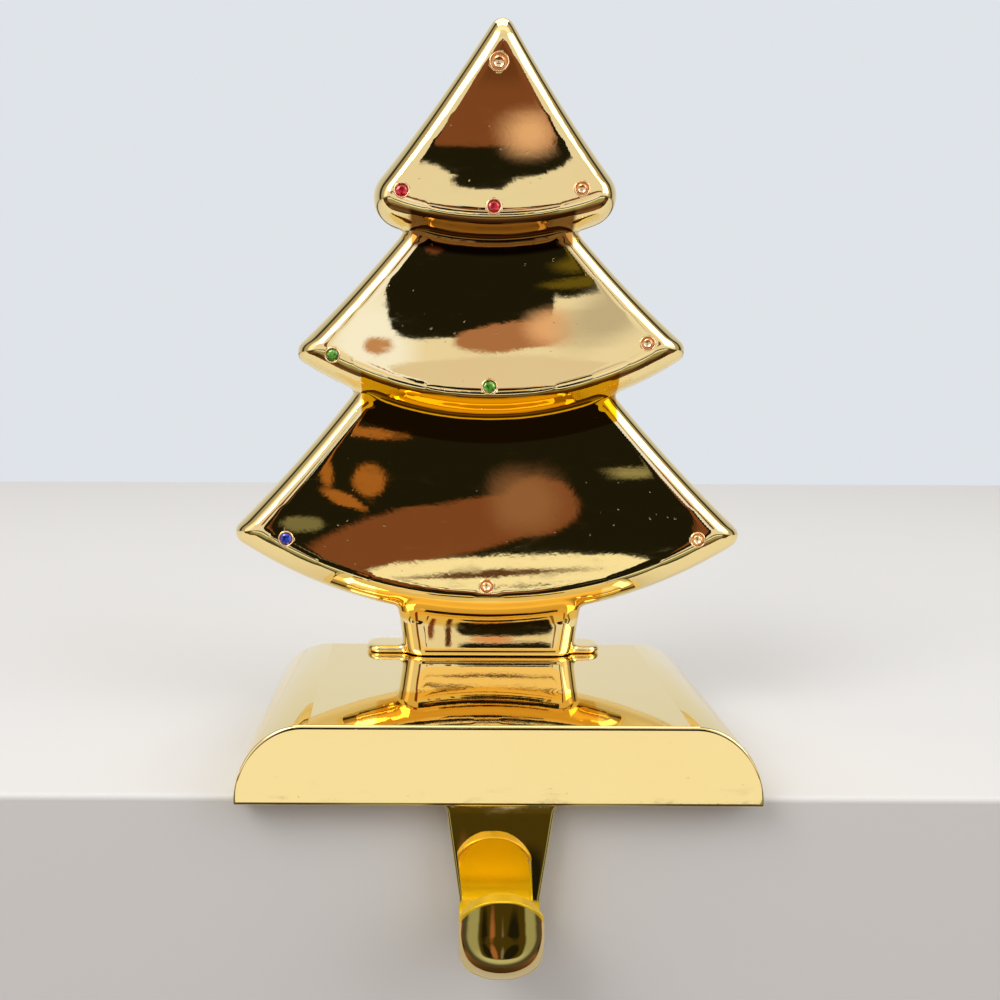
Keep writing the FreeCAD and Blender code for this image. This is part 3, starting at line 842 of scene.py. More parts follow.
@dataclass
class TreeCasting:
    """The whole tree in one casting: tiers, trunk and foot merged, with soft hollow corners between them."""

    voxel: float = 0.58
    skin_rounds: int = 3
    hollow_rounds: int = 22
    back_rounds: int = 40
    back_skin: float = 0.6
    hollow_above: float = 4.0
    hollow_reach: float = 2.2
    beside_tier: float = 1.0
    beside_trunk: float = 1.5
    trunk: TrunkForm = field(default_factory=TrunkForm)

    def __post_init__(self) -> None:
        """Makes the three tiers, each under the one above."""
        upper = TierForm(
            top_left=flat(2.7, 172.4), top_right=flat(2.7, 172.4),
            corner_left=flat(-30.4, 127.6), corner_right=flat(32.4, 128.2),
            low_middle=flat(0.6, 117.4), low_radius=72.0,
            corner_round=7.0, side_bow=1.0, apex_round=3.1, top_depth=4.6, low_depth=9.6, dish_top=166.4)
        middle = TierForm(
            top_left=flat(-20.4, 120.3), top_right=flat(21.1, 120.2),
            corner_left=flat(-48.5, 90.8), corner_right=flat(48.4, 93.0),
            low_middle=flat(0.2, 75.8), low_radius=84.0,
            corner_round=3.0, side_bow=0.7, top_depth=4.6, low_depth=10.2, dish_top=120.2)
        lower = TierForm(
            top_left=flat(-32.7, 81.6), top_right=flat(30.9, 81.4),
            corner_left=flat(-64.3, 46.3), corner_right=flat(65.1, 45.7),
            low_middle=flat(0.5, 26.4), low_radius=112.0,
            corner_round=3.0, side_bow=0.8, top_depth=5.5, low_depth=9.0, dish_top=81.6)
        self.tiers = (upper, middle, lower)

    def merged(self) -> bpy.types.Object:
        """The casting as one closed skin, with smoothed hollow corners and a plain back.

        Returns:
            The tree, without its cups.
        """
        whole = Mesher()
        for form in (*self.tiers, self.trunk):
            whole.loft(form.rings())
        self.trunk.add_ears(whole)
        tree = whole.finish("tree_gold")
        remesh = tree.modifiers.new("skin", "REMESH")
        remesh.mode, remesh.voxel_size = "VOXEL", self.voxel * MM
        apply_modifiers(tree)
        bm = bmesh.new()
        bm.from_mesh(tree.data)
        relax(bm, bm.verts, self.skin_rounds)
        relax(bm, [v for v in bm.verts if self.in_hollow(v.co / MM)], self.hollow_rounds)
        back = (self.tiers[0].middle_y + self.tiers[0].back_depth - self.back_skin) * MM
        relax(bm, [v for v in bm.verts if v.co.y > back], self.back_rounds, "y")
        bm.to_mesh(tree.data)
        bm.free()
        return tree

    def in_hollow(self, p: Vector) -> bool:
        """Whether a point lies near the hollow corner under a tier.

        Args:
            p: The point, in millimetres.

        Returns:
            True near the line where a tier's underside meets the next face or the trunk.
        """
        if p.y > self.tiers[0].middle_y:
            return False
        front = flat(p.x, p.z)
        for tier, below in zip(self.tiers, (*self.tiers[1:], None)):
            drop = (front - tier.low[0]).length - tier.low[1]
            if not -self.hollow_above < drop < self.hollow_reach:
                continue
            if below is None:
                inside = abs(p.x - self.trunk.centre_x) < self.trunk.top_width / 2 + self.beside_trunk
                face = self.trunk.front_y
            else:
                inside = all(radius < (front - centre).length + self.beside_tier
                             for centre, radius in (below.left, below.right))
                face = below.middle_y - below.front_depth(p.z)
            if inside and abs(p.y - face) < self.hollow_reach:
                return True
        return False


# Rings of the cut stone: share of the girdle's radius, height in millimetres and turn in facets.
STONE_ROWS = ((0.52, 0.22, 0.5), (0.8, 0.08, 0.0), (1.0, -0.16, 0.5), (1.0, -0.2, 0.5), (0.12, -1.0, 0.5))


@dataclass
class SettingForm:
    """A round cup with a thin raised lip, and the cut stone that it may hold."""

    name: str
    x: float
    z: float
    stone: Optional[Slot] = None
    diameter: float = 3.7
    usual_diameter: float = 3.7
    lip_wall: float = 0.3
    lip_proud: float = 0.28
    lip_steps: int = 8
    cup_depth: float = 1.35
    plug_length: float = 4.0
    spin_steps: int = 48
    stone_clear: float = 0.04
    facets: int = 8

    def seat(self, skin: BVHTree) -> Matrix:
        """The setting's place on the face, with its axis halfway between the face's normal and the front.

        Args:
            skin: The face, in millimetres.

        Returns:
            The transform from the setting's own axis to its place.
        """
        place, normal, _, _ = skin.ray_cast(Vector((self.x, FRONT_Y, self.z)), TO_BACK)
        lean = (normal + TO_FRONT).normalized()
        return Matrix.Translation(place) @ lean.to_track_quat("Z", "X").to_matrix().to_4x4()

    def plug(self, seat: Matrix) -> bpy.types.Object:
        """A temporary cylinder that clears the face for the cup.

        Args:
            seat: The setting's place.

        Returns:
            The cylinder.
        """
        mesher = Mesher()
        radius = self.diameter / 2 - self.lip_wall / 2
        bmesh.ops.create_cone(mesher.bm, cap_ends=True, segments=self.spin_steps, radius1=radius, radius2=radius,
                              depth=self.plug_length)
        rise = self.plug_length / 2 - self.cup_depth - self.lip_wall
        bmesh.ops.translate(mesher.bm, vec=(0, 0, rise), verts=mesher.bm.verts)
        mesher.bm.transform(seat)
        return mesher.finish("cut_" + self.name)

    def cup(self, seat: Matrix) -> bpy.types.Object:
        """The cup with its rounded lip.

        Args:
            seat: The setting's place.

        Returns:
            The piece.
        """
        outer = self.diameter / 2
        inner = outer - self.lip_wall
        middle, half_wall = (outer + inner) / 2, self.lip_wall / 2
        deep = -self.cup_depth * self.diameter / self.usual_diameter
        profile = [(0.0, deep - 0.35), (outer * 0.6, deep - 0.2), (outer - 0.02, deep * 0.55), (outer + 0.1, -0.12),
                   (outer + 0.02, 0.0)]
        for step in range(self.lip_steps + 1):
            angle = math.pi * step / self.lip_steps
            profile.append((middle + half_wall * math.cos(angle),
                            self.lip_proud - half_wall + half_wall * math.sin(angle)))
        profile += [(inner, -0.3), (inner * 0.86, deep * 0.55), (inner * 0.5, deep * 0.88),
                    (inner * 0.2, deep * 0.98), (0.0, deep)]
        mesher = Mesher()
        mesher.spin(profile, self.spin_steps)
        mesher.bm.transform(seat)
        return mesher.finish(self.name + "_cup")

    def cut_stone(self, seat: Matrix) -> bpy.types.Object:
        """A brilliant-cut stone: table, two rows of crown facets and a pointed back.

        Args:
            seat: The setting's place.

        Returns:
            The piece, with flat facets.
        """
        girdle = self.diameter / 2 - self.lip_wall - self.stone_clear
        mesher = Mesher()
        rings = []
        for share, height, offset in STONE_ROWS:
            turns = [2 * math.pi * (i + offset) / self.facets for i in range(self.facets)]
            rings.append([Vector((girdle * share * math.cos(t), girdle * share * math.sin(t), height)) for t in turns])
        mesher.loft(rings)
        bmesh.ops.triangulate(mesher.bm, faces=[f for f in mesher.bm.faces if len(f.verts) == 4])
        mesher.bm.transform(seat)
        return mesher.finish(self.name + "_cut", smooth=False)


SETTINGS = (
    SettingForm("stone_upper_left_red", -20.9, 128.9, Slot.RED),
    SettingForm("stone_upper_centre_red", 0.6, 125.2, Slot.RED),
    SettingForm("upper_right", 21.1, 129.4),
    SettingForm("stone_middle_left_green", -37.3, 90.8, Slot.GREEN),
    SettingForm("stone_middle_centre_green", 0.0, 83.5, Slot.GREEN),
    SettingForm("middle_right", 37.5, 93.8),
    SettingForm("stone_lower_left_blue", -48.9, 46.5, Slot.BLUE),
    SettingForm("lower_centre", -0.1, 35.2),
    SettingForm("lower_right", 51.1, 46.6),
    SettingForm("apex", 1.6, 158.4, diameter=4.6),
)

# Heights of the strap's sections, from inside the block down to the bend.
STRAP_HEIGHTS = (3.0, 1.2, 0.3, -0.15, -0.4, -0.8, -1.2, -1.6, -2.4, -5.0, -8.0, -11.0, -14.0)


@dataclass
class BaseCasting:
    """The base block with its arched profile and the J-hook in one casting."""

    width: float = 108.0
    depth: float = 66.0
    height: float = BASE_TOP
    bottom: float = 0.3
    shoulder_run: float = 14.3
    shoulder_land: float = 0.8
    front_round: float = 0.5
    low_round: float = 0.22
    round_steps: int = 6
    sharp_turn: float = 40.0
    wide_area: float = 600.0
    wide_inset: float = 0.35
    shoulder_count: int = 40
    hook_setback: float = 0.8
    strap_thickness: float = 4.0
    strap_edge: float = 0.94
    strap_x: float = 0.5
    strap_top: float = 23.3
    strap_low: float = 16.7
    root_fillet: float = 1.6
    drop: float = 32.6
    gap: float = 12.6
    bend_thickness: float = 6.4
    bend_count: int = 36
    finger_width: float = 16.8
    finger_edge: float = 1.3
    finger_count: int = 18
    tip_width: float = 15.9
    tip_thickness: float = 3.9
    tip_below: float = 12.4
    tip_round: float = 0.35
    tip_crown: float = 4.8
    tip_land: float = 0.8
    corner_round: float = 0.6
    edge_count: int = 6
    crown_count: int = 18
    flat_shares: tuple[float, ...] = (0.3, 0.6, 0.85, 0.96)

    def __post_init__(self) -> None:
        """Works out where the strap, the bend and the finger stand."""
        self.strap_y = FRONT_Y + self.hook_setback
        self.bend_z = -self.drop + self.bend_thickness + self.gap / 2

    def block(self) -> bpy.types.Object:
        """The block: an arch profile drawn to the back, with rounded edges.

        Returns:
            The block.
        """
        mesher = Mesher()
        bm = mesher.bm
        flat_half = self.width / 2 - self.shoulder_run
        half = []
        for step in range(self.shoulder_count + 1):
            angle = math.pi / 2 * step / self.shoulder_count
            half.append((flat_half + self.shoulder_run * math.cos(angle),
                         self.bottom + (self.height - self.bottom) * math.sin(angle)))
        half.append((flat_half - self.shoulder_land, self.height))
        outline = half + [(-x, z) for x, z in reversed(half)]
        edges = mesher.ring(Vector((x, FRONT_Y, z)) for x, z in outline)
        face = bmesh.ops.contextual_create(bm, geom=edges)["faces"]
        grown = bmesh.ops.extrude_face_region(bm, geom=face)["geom"]
        bmesh.ops.translate(bm, vec=(0, self.depth, 0), verts=[g for g in grown if isinstance(g, bmesh.types.BMVert)])
        bmesh.ops.recalc_face_normals(bm, faces=bm.faces)
        for offset, highest in ((self.low_round, self.bottom + 0.01), (self.front_round, self.height + 1.0)):
            mesher.bevel([e for e in bm.edges if e.calc_face_angle(0) > math.radians(self.sharp_turn)
                          and max(v.co.z for v in e.verts) < highest], offset, self.round_steps, clamp=True)
        wide = [f for f in bm.faces if f.calc_area() > self.wide_area]
        bmesh.ops.inset_individual(bm, faces=wide, thickness=self.wide_inset, use_even_offset=True)
        return mesher.finish("base_block_gold")

    def section(self, point: Vector, out: Vector, width: float, centre: float, edge: float,
                whole: Optional[float] = None) -> Ring:
        """One section of the hook, flat inside and crowned outside.

        Args:
            point: Middle of the inner face.
            out: Direction from the inner to the outer face.
            width: Its width.
            centre: Its thickness in the middle.
            edge: Its thickness at the edges before the crown.
            whole: Width of the crown where the section is cut narrower.

        Returns:
            The ring of points.
        """
        half, reach = width / 2, (whole or width) / 2
        corner = min(self.corner_round, half * 0.8)
        shape = [((half - corner) * share, 0.0) for share in self.flat_shares]
        for step in range(self.edge_count + 1):
            angle = math.pi / 2 * step / self.edge_count
            shape.append((half - corner + corner * math.sin(angle), corner - corner * math.cos(angle)))
        first = math.acos(min(1.0, half / reach))
        bend = 1.0 - 0.35 * (1 - (1 - edge / centre) ** 0.35)
        low = edge * 0.55
        for step in range(self.crown_count + 1):
            angle = first + (math.pi / 2 - first) * step / self.crown_count
            up = max(low + (centre - low) * math.sin(angle) ** bend, corner)
            if step == 0:
                shape += [(half, corner + (up - corner) * share) for share in (0.5, 0.9)]
            shape.append((reach * math.cos(angle), up))
        shape += [(-x, t) for x, t in reversed(shape[:-1])]
        return [point + Vector((x, 0, 0)) + out * t for x, t in shape]

    def strap(self) -> list[Ring]:
        """The strap, wider at its root and with a fillet under the block.

        Returns:
            Its sections, downwards.
        """
        rings = []
        start = STRAP_HEIGHTS[0]
        for z in STRAP_HEIGHTS:
            width = self.strap_top + (self.strap_low - self.strap_top) * (z - start) / (self.bend_z - start)
            away = self.root_fillet - min(max(self.bottom - z, 0.0), self.root_fillet)
            width += 2 * (self.root_fillet - math.sqrt(self.root_fillet ** 2 - away ** 2))
            rings.append(self.section(Vector((self.strap_x, self.strap_y, z)), TO_BACK, width, self.strap_thickness,
                                      self.strap_thickness * self.strap_edge))
        return rings

    def bend(self) -> list[Ring]:
        """The bend, which is thickest at its lowest point.

        Returns:
            Its sections, from the strap to the finger.
        """
        rings = []
        radius, edge = self.gap / 2, self.strap_thickness * self.strap_edge
        for step in range(self.bend_count + 1):
            turn = math.pi * step / self.bend_count
            out = Vector((0, math.cos(turn), -math.sin(turn)))
            ease = (1 - math.cos(turn)) / 2
            point = Vector((self.strap_x * (1 - ease), self.strap_y - radius, self.bend_z)) + out * radius
            plain = self.strap_thickness + (self.tip_thickness - self.strap_thickness) * ease
            rings.append(self.section(point, out, self.strap_low + (self.finger_width - self.strap_low) * ease,
                                      plain + (self.bend_thickness - plain) * math.sin(turn),
                                      edge + (self.finger_edge - edge) * ease))
        return rings

    def finger(self) -> list[Ring]:
        """The finger up to its arched tip.

        Returns:
            Its sections, closer together towards the tip.
        """
        rings = []
        finger_y, tip_z, half = self.strap_y - self.gap, -self.tip_below, self.tip_width / 2
        arch = (half ** 2 + self.tip_crown ** 2) / (2 * self.tip_crown)
        for step in range(1, self.finger_count + 1):
            share = math.sin(math.pi / 2 * step / self.finger_count)
            z = self.bend_z + (tip_z - self.bend_z) * share
            reach = arch - (tip_z - z)
            whole = width = self.finger_width + (self.tip_width - self.finger_width) * share
            if reach > 0:
                width = min(width, 2 * math.sqrt(max(arch ** 2 - reach ** 2, 0.0)) + self.tip_land)
            close = min(1.0, (tip_z - z) / self.tip_round)
            inset = self.tip_round * (1 - math.sqrt(max(1 - (1 - close) ** 2, 0.0)))
            rings.append(self.section(Vector((0, finger_y, z)) + TO_FRONT * inset, TO_FRONT, width,
                                      self.tip_thickness - 2 * inset, self.finger_edge, whole))
        return rings

    def build(self) -> bpy.types.Object:
        """Joins the hook, which is sunk a little into the block.

        Returns:
            The casting.
        """
        casting = self.block()
        mesher = Mesher()
        mesher.loft(self.strap() + self.bend() + self.finger())
        combine(casting, mesher.finish("hook_gold"), "UNION")
        casting.name = "base_with_hook_gold"
        return casting


# Painted reflection and painted shade on the downward rolls of the three tiers' lower edges, where the real gold
# mirrors the parts below it.
PAINTED_AMBER_REFLECTION = (0.66, 0.3, 0.003)
PAINTED_REFLECTIONS_UNDER_TIERS = (
    PaintedReflectionZone(PAINTED_AMBER_REFLECTION, (("X", -30.5, 31.0), ("Y", 0.0, 25.2)), ring=(0.2, 159.8, 78.9, 90.0), soft=0.25),
    PaintedReflectionZone((0.2, 0.09, 0.018), (("X", -19.0, 19.8), ("Y", 0.0, 25.2)), ring=(0.6, 189.4, 67.4, 75.2), soft=0.6),
    PaintedReflectionZone((0.86, 0.52, 0.09), (("X", -27.0, 28.0), ("Y", 0.0, 25.0)), ring=(0.5, 138.4, 107.2, 114.0), soft=0.5))
# Inside the hook: a rougher, less metallic satin face, with an amber colour that is a painted reflection of the hook's
# facing faces in its gap, up to the finger's tip.
PAINTED_REFLECTIONS_IN_HOOK = (
    PaintedReflectionZone((1.0, 0.8, 0.004), (("Y", -45.3, -38.0),), ring=(0.3, -23.2, -1.0, 8.2), oval=0.73, soft=0.12,
             roughness=0.3, metallic=0.5),
    PaintedReflectionZone((0.9, 0.6, 0.005), (("Y", -40.0, -31.4), ("Z", -30.0, -20.5)), soft=0.5, roughness=0.3, metallic=0.5),
    PaintedReflectionZone((0.88, 0.56, 0.008), (("Y", -50.5, -44.4), ("Z", -17.6, -10.0)), ring=(0.0, -21.38, 8.78, 13.0),
             soft=0.1, roughness=0.3, metallic=0.5))


@dataclass(frozen=True)
class Patch:
    """A soft-edged patch of colour on a card or in the studio's far field, by its centre, half sizes and turn.

    The fur of its edge is an amount and the cycles per unit across and up.
    """

    centre: Pair
    half: Pair
    color: Color
    soft: float = 0.1
    fur: Triple = (0.0, 1.0, 1.0)
    turn: float = 0.0
    square: bool = False
    strength: float = 1.0


class PatchPainter:
    """Builds patches of colour as shader nodes over two flat coordinates."""

    corner_power: float = 6.0

    def __init__(self, kit: NodeKit, across: Socket, up: Socket) -> None:
        """Keeps the two coordinates.

        Args:
            kit: The nodes to add to.
            across: The coordinate to the right.
            up: The coordinate upwards.
        """
        self.kit = kit
        self.flat = kit.add("ShaderNodeCombineXYZ", X=across, Y=up).outputs[0]

    def mask(self, patch: Patch) -> Socket:
        """How much of a patch there is at each point.

        Args:
            patch: The patch.

        Returns:
            A value from 0 to the patch's strength.
        """
        kit = self.kit
        place = kit.add("ShaderNodeMapping", vector_type="TEXTURE", Vector=self.flat, Location=(*patch.centre, 0),
                        Rotation=(0, 0, math.radians(patch.turn)), Scale=(*patch.half, 1)).outputs[0]
        if patch.square:
            sides = [kit.math("POWER", kit.math("ABSOLUTE", side), self.corner_power) for side in kit.split(place)[:2]]
            reach = kit.math("POWER", kit.math("ADD", *sides), 1 / self.corner_power)
        else:
            length = kit.add("ShaderNodeVectorMath", operation="LENGTH")
            kit.plug(place, length.inputs[0])
            reach = length.outputs["Value"]
        amount, across, up = patch.fur
        if amount:
            fur = kit.noise(1.0, 3.0, (across, up, 1), self.flat)
            reach = kit.math("ADD", reach, kit.math("MULTIPLY", kit.math("SUBTRACT", fur, 0.5), amount * 2))
        return kit.span(reach, 1 - patch.soft, 1 + patch.soft, patch.strength, 0.0, True)

    def paint(self, ground: Tone, patches: Iterable[Patch]) -> Tone:
        """Lays patches over a ground colour, each over those before it.

        Args:
            ground: The ground colour.
            patches: The patches in order.

        Returns:
            The colour.
        """
        for patch in patches:
            ground = self.kit.mix(self.mask(patch), ground, patch.color)
        return ground


@dataclass(frozen=True)
class MirrorCard:
    """An upright painted card that only mirror surfaces see, in millimetres."""

    name: str
    y: float
    across: Pair
    up: Pair
    ground: Color
    patches: tuple[Patch, ...]

    def build(self) -> None:
        """Makes the card, hidden from the camera, diffuse light and shadows."""
        mesher = Mesher()
        (left, right), (low, high) = self.across, self.up
        corners = ((left, low), (right, low), (right, high), (left, high))
        bmesh.ops.contextual_create(mesher.bm, geom=mesher.ring(Vector((x, self.y, z)) for x, z in corners))
        card = mesher.finish(self.name)
        material = bpy.data.materials.new(self.name)
        material.use_nodes = True
        material.node_tree.nodes.clear()
        kit = NodeKit(material.node_tree)
        size = kit.add("ShaderNodeVectorMath", operation="SCALE", Scale=1 / MM)
        kit.plug(kit.coords.outputs["Object"], size.inputs[0])
        x, _, z = kit.split(size.outputs[0])
        glow = kit.add("ShaderNodeEmission", Color=PatchPainter(kit, x, z).paint(self.ground, self.patches))
        kit.add("ShaderNodeOutputMaterial", Surface=glow.outputs[0])
        card.data.materials.append(material)
        card.visible_camera = card.visible_diffuse = card.visible_shadow = False


BLACK = (0.012, 0.011, 0.005)
BROWN = (0.21, 0.075, 0.035)
DEEP_BROWN = (0.1, 0.035, 0.015)
PINK = (0.8, 0.5, 0.4)
OLIVE = (0.075, 0.05, 0.004)
DIM_OLIVE = (0.13, 0.1, 0.012)
GREEN_GREY = (0.33, 0.34, 0.2)
ORANGE = (0.38, 0.14, 0.03)

CARDS = (
    MirrorCard(
        "middle_card", -262.0, (-90, 150), (129, 214), (0.86, 0.84, 0.88),
        (Patch((-42, 186), (20, 24), (0.98, 1.08, 1.55), 0.5, (0.1, 0.1, 0.1)),
         Patch((-38, 185), (7, 3.6), (0.55, 0.3, 0.2), 0.3, (0.3, 0.2, 0.2)),
         Patch((6, 150), (41, 31), BLACK, 0.02, (0.035, 0.04, 0.9), square=True, turn=-3),
         Patch((62, 138), (21, 25), BLACK, 0.04, (0.03, 0.1, 0.6), square=True, turn=-8),
         Patch((27, 181), (28, 6.5), (0.42, 0.2, 0.13), 0.12, (0.12, 0.1, 0.3), turn=-5),
         Patch((47, 177), (12, 7), PINK, 0.6, (0.1, 0.1, 0.3)),
         Patch((74, 172), (22, 10), (0.56, 0.53, 0.56), 0.6, (0.2, 0.03, 0.2), turn=-20),
         Patch((28, 206), (84, 17), (0.78, 0.72, 0.74), 0.06, (0.02, 0.1, 0.1)),
         Patch((62, 150), (15, 3.0), DIM_OLIVE, 0.5, (0.3, 0.04, 0.5), turn=-6),
         Patch((60, 158), (17, 2.0), DIM_OLIVE, 0.5, (0.3, 0.04, 0.5), turn=-6),
         Patch((-11, 143), (4, 3.4), (0.16, 0.06, 0.035), 0.4, (0.2, 0.3, 0.3)))),
    MirrorCard(
        "trunk_card", -262.0, (-90, 150), (66, 126), (0.88, 0.96, 1.35),
        (Patch((24, 112), (150, 17), (1.0, 0.86, 0.62), 0.03, (0.04, 0.08, 0.08), square=True),
         Patch((24, 103), (40, 0.7), DEEP_BROWN, 0.5, (0.6, 0.06, 0.3)),
         Patch((14, 109), (46, 0.9), DEEP_BROWN, 0.5, (0.6, 0.06, 0.3), turn=2),
         Patch((34, 115), (50, 1.1), DEEP_BROWN, 0.5, (0.6, 0.06, 0.3), turn=-2),
         Patch((25, 74.5), (24.5, 8.2), BLACK, 0.05, (0.06, 0.3, 0.3), square=True),
         Patch((26, 89.5), (23.5, 3.6), BLACK, 0.1, (0.1, 0.1, 0.3), square=True),
         Patch((19, 84.2), (12, 1.4), (0.8, 0.45, 0.42), 0.25, (0.15, 0.2, 0.4)),
         Patch((38, 84.2), (9, 1.5), (0.88, 0.9, 1.1), 0.25, (0.15, 0.2, 0.4)),
         Patch((-3, 82), (1.4, 8), DEEP_BROWN, 0.3, square=True),
         Patch((-12, 79), (1.6, 5), BROWN, 0.3, square=True),
         Patch((-20, 84), (1.6, 8), BROWN, 0.3, square=True),
         Patch((55, 82), (3, 12), (0.3, 0.2, 0.08), 0.3, (0.1, 0.2, 0.2), square=True))),
    MirrorCard(
        "finger_card", -75.0, (-130, 130), (-110, -19.5), (0.075, 0.068, 0.045),
        (Patch((2, -38), (44, 40), GREEN_GREY, 0.25, (0.03, 0.1, 0.1)),
         Patch((2, -56), (24, 14), (0.5, 0.52, 0.36), 0.5),
         Patch((2, -34), (19, 21), (0.06, 0.042, 0.006), 0.1, (0.04, 0.1, 0.1), square=True),
         Patch((-10, -40), (3.0, 13), BLACK, 0.3, (0.2, 0.2, 0.2), turn=8),
         Patch((-4, -42), (2.2, 14), (0.36, 0.14, 0.06), 0.4, (0.2, 0.2, 0.2), turn=5),
         Patch((2, -43), (1.2, 11), (0.2, 0.17, 0.14), 0.4, (0.2, 0.2, 0.2)),
         Patch((9, -41), (5.5, 13), BLACK, 0.2, (0.1, 0.2, 0.2), turn=-8))))

# What stands far in front of the part, by slopes to the side and up.
FAR_GROUND = (0.84, 0.82, 0.84)
FAR_PATCHES = (
    Patch((0.0, -1.2), (3.0, 1.0), (0.1, 0.05, 0.03), 0.06, square=True),
    Patch((0.0, -0.8), (2.5, 0.05), (0.3, 0.14, 0.05), 0.6, (0.3, 2, 12)),
    Patch((0.0, -0.5), (3.0, 0.2), GREEN_GREY, 0.1, square=True),
    Patch((0.07, -0.52), (0.3, 0.14), OLIVE, 0.1, (0.1, 3, 3), square=True),
    Patch((0.05, -0.09), (0.26, 0.225), BLACK, 0.03, (0.02, 9, 9), square=True),
    Patch((0.06, -0.358), (1.4, 0.051), (0.98, 0.96, 0.9), 0.02, square=True),
    # For the lower tier.
    Patch((0.014, 0.02), (0.12, 0.03), BROWN, 0.1, (0.12, 14, 24), turn=-13),
    Patch((0.1, -0.006), (0.034, 0.03), BROWN, 0.15, (0.2, 40, 24)),
    Patch((0.09, -0.012), (0.03, 0.03), (0.34, 0.17, 0.11), 0.6, (0.3, 30, 14), strength=0.7),
    Patch((-0.048, -0.083), (0.03, 0.005), ORANGE, 0.3, (0.3, 40, 40), turn=8),
    Patch((-0.088, -0.05), (0.006, 0.026), ORANGE, 0.3, (0.3, 40, 40), turn=-12),
    Patch((-0.07, -0.012), (0.022, 0.006), ORANGE, 0.3, (0.3, 40, 40), turn=30),
    Patch((-0.048, -0.032), (0.014, 0.017), ORANGE, 0.25, (0.3, 40, 40)),
    Patch((-0.106, 0.014), (0.017, 0.008), (0.2, 0.19, 0.11), 0.3, (0.4, 60, 40)),
    Patch((-0.146, 0.016), (0.011, 0.007), BROWN, 0.4, (0.3, 40, 40)),
    Patch((0.18, -0.042), (0.02, 0.006), (0.3, 0.28, 0.16), 0.6, (0.6, 20, 160)),
    Patch((0.08, 0.0625), (0.146, 0.0165), (1.0, 0.96, 0.86), 0.06, (0.08, 12, 30), turn=-3),
    Patch((0.06, 0.065), (0.078, 0.0035), DEEP_BROWN, 0.4, (0.3, 20, 20), turn=-3),
    Patch((0.248, 0.024), (0.012, 0.032), BROWN, 0.25, (0.1, 10, 10)),
    # For the upper tier.
    Patch((0.066, 0.425), (0.076, 0.075), BLACK, 0.03, (0.1, 70, 50)),
    Patch((0.06, 0.29), (0.5, 0.145), BROWN, 0.03, (0.04, 22, 22), square=True),
    Patch((0.066, 0.285), (0.03, 0.035), DEEP_BROWN, 0.7, (0.3, 30, 20), strength=0.6),
    Patch((0.094, 0.412), (0.022, 0.036), PINK, 0.8, (0.2, 30, 20)),
    Patch((0.137, 0.425), (0.02, 0.034), BLACK, 0.12, (0.35, 60, 40)),
    Patch((-0.008, 0.448), (0.02, 0.022), BLACK, 0.12, (0.35, 60, 40)),
    Patch((0.055, 0.5), (0.03, 0.02), BLACK, 0.12, (0.35, 60, 40)),
    Patch((0.05, 0.17), (0.3, 0.035), BLACK, 0.3, (0.1, 10, 10), square=True),
    Patch((0.05, 0.82), (2.6, 0.1), (0.8, 0.77, 0.7), 0.12, square=True))

# The rest of the room, from the front (-1) to the back (1) and from below (-1) to the horizon.
ROUND_STOPS = (
    (-1.0, (0.85, 0.84, 0.82)), (-0.6, (0.9, 0.88, 0.85)), (-0.45, (1.25, 1.22, 1.16)), (-0.25, (1.1, 1.06, 1.0)),
    (-0.1, (0.5, 0.42, 0.33)), (0.12, (0.4, 0.36, 0.3)), (0.2, (0.03, 0.025, 0.012)), (0.34, (0.05, 0.045, 0.03)),
    (0.42, (0.5, 0.51, 0.52)), (1.0, (0.8, 0.82, 0.85)))
LOW_STOPS = (
    (-1.0, (0.05, 0.03, 0.012)), (-0.75, (0.22, 0.1, 0.04)), (-0.6, (0.03, 0.02, 0.01)), (-0.4, (0.16, 0.07, 0.03)),
    (-0.2, (0.04, 0.03, 0.015)), (0.0, (0.3, 0.27, 0.22)))
PALE_BACKDROP = (0.74, 0.775, 0.82)

# Soft lamps: name, place and size in metres, power in watts and tint.
LAMPS = (("key", (-0.75, -0.7, 0.95), 0.7, 8.0, (1.0, 0.985, 0.96)),
         ("fill", (0.9, -0.45, 0.6), 0.8, 4.0, (0.97, 0.985, 1.0)),
         ("top", (0.0, 0.25, 1.1), 0.8, 4.0, (1.0, 1.0, 1.0)))


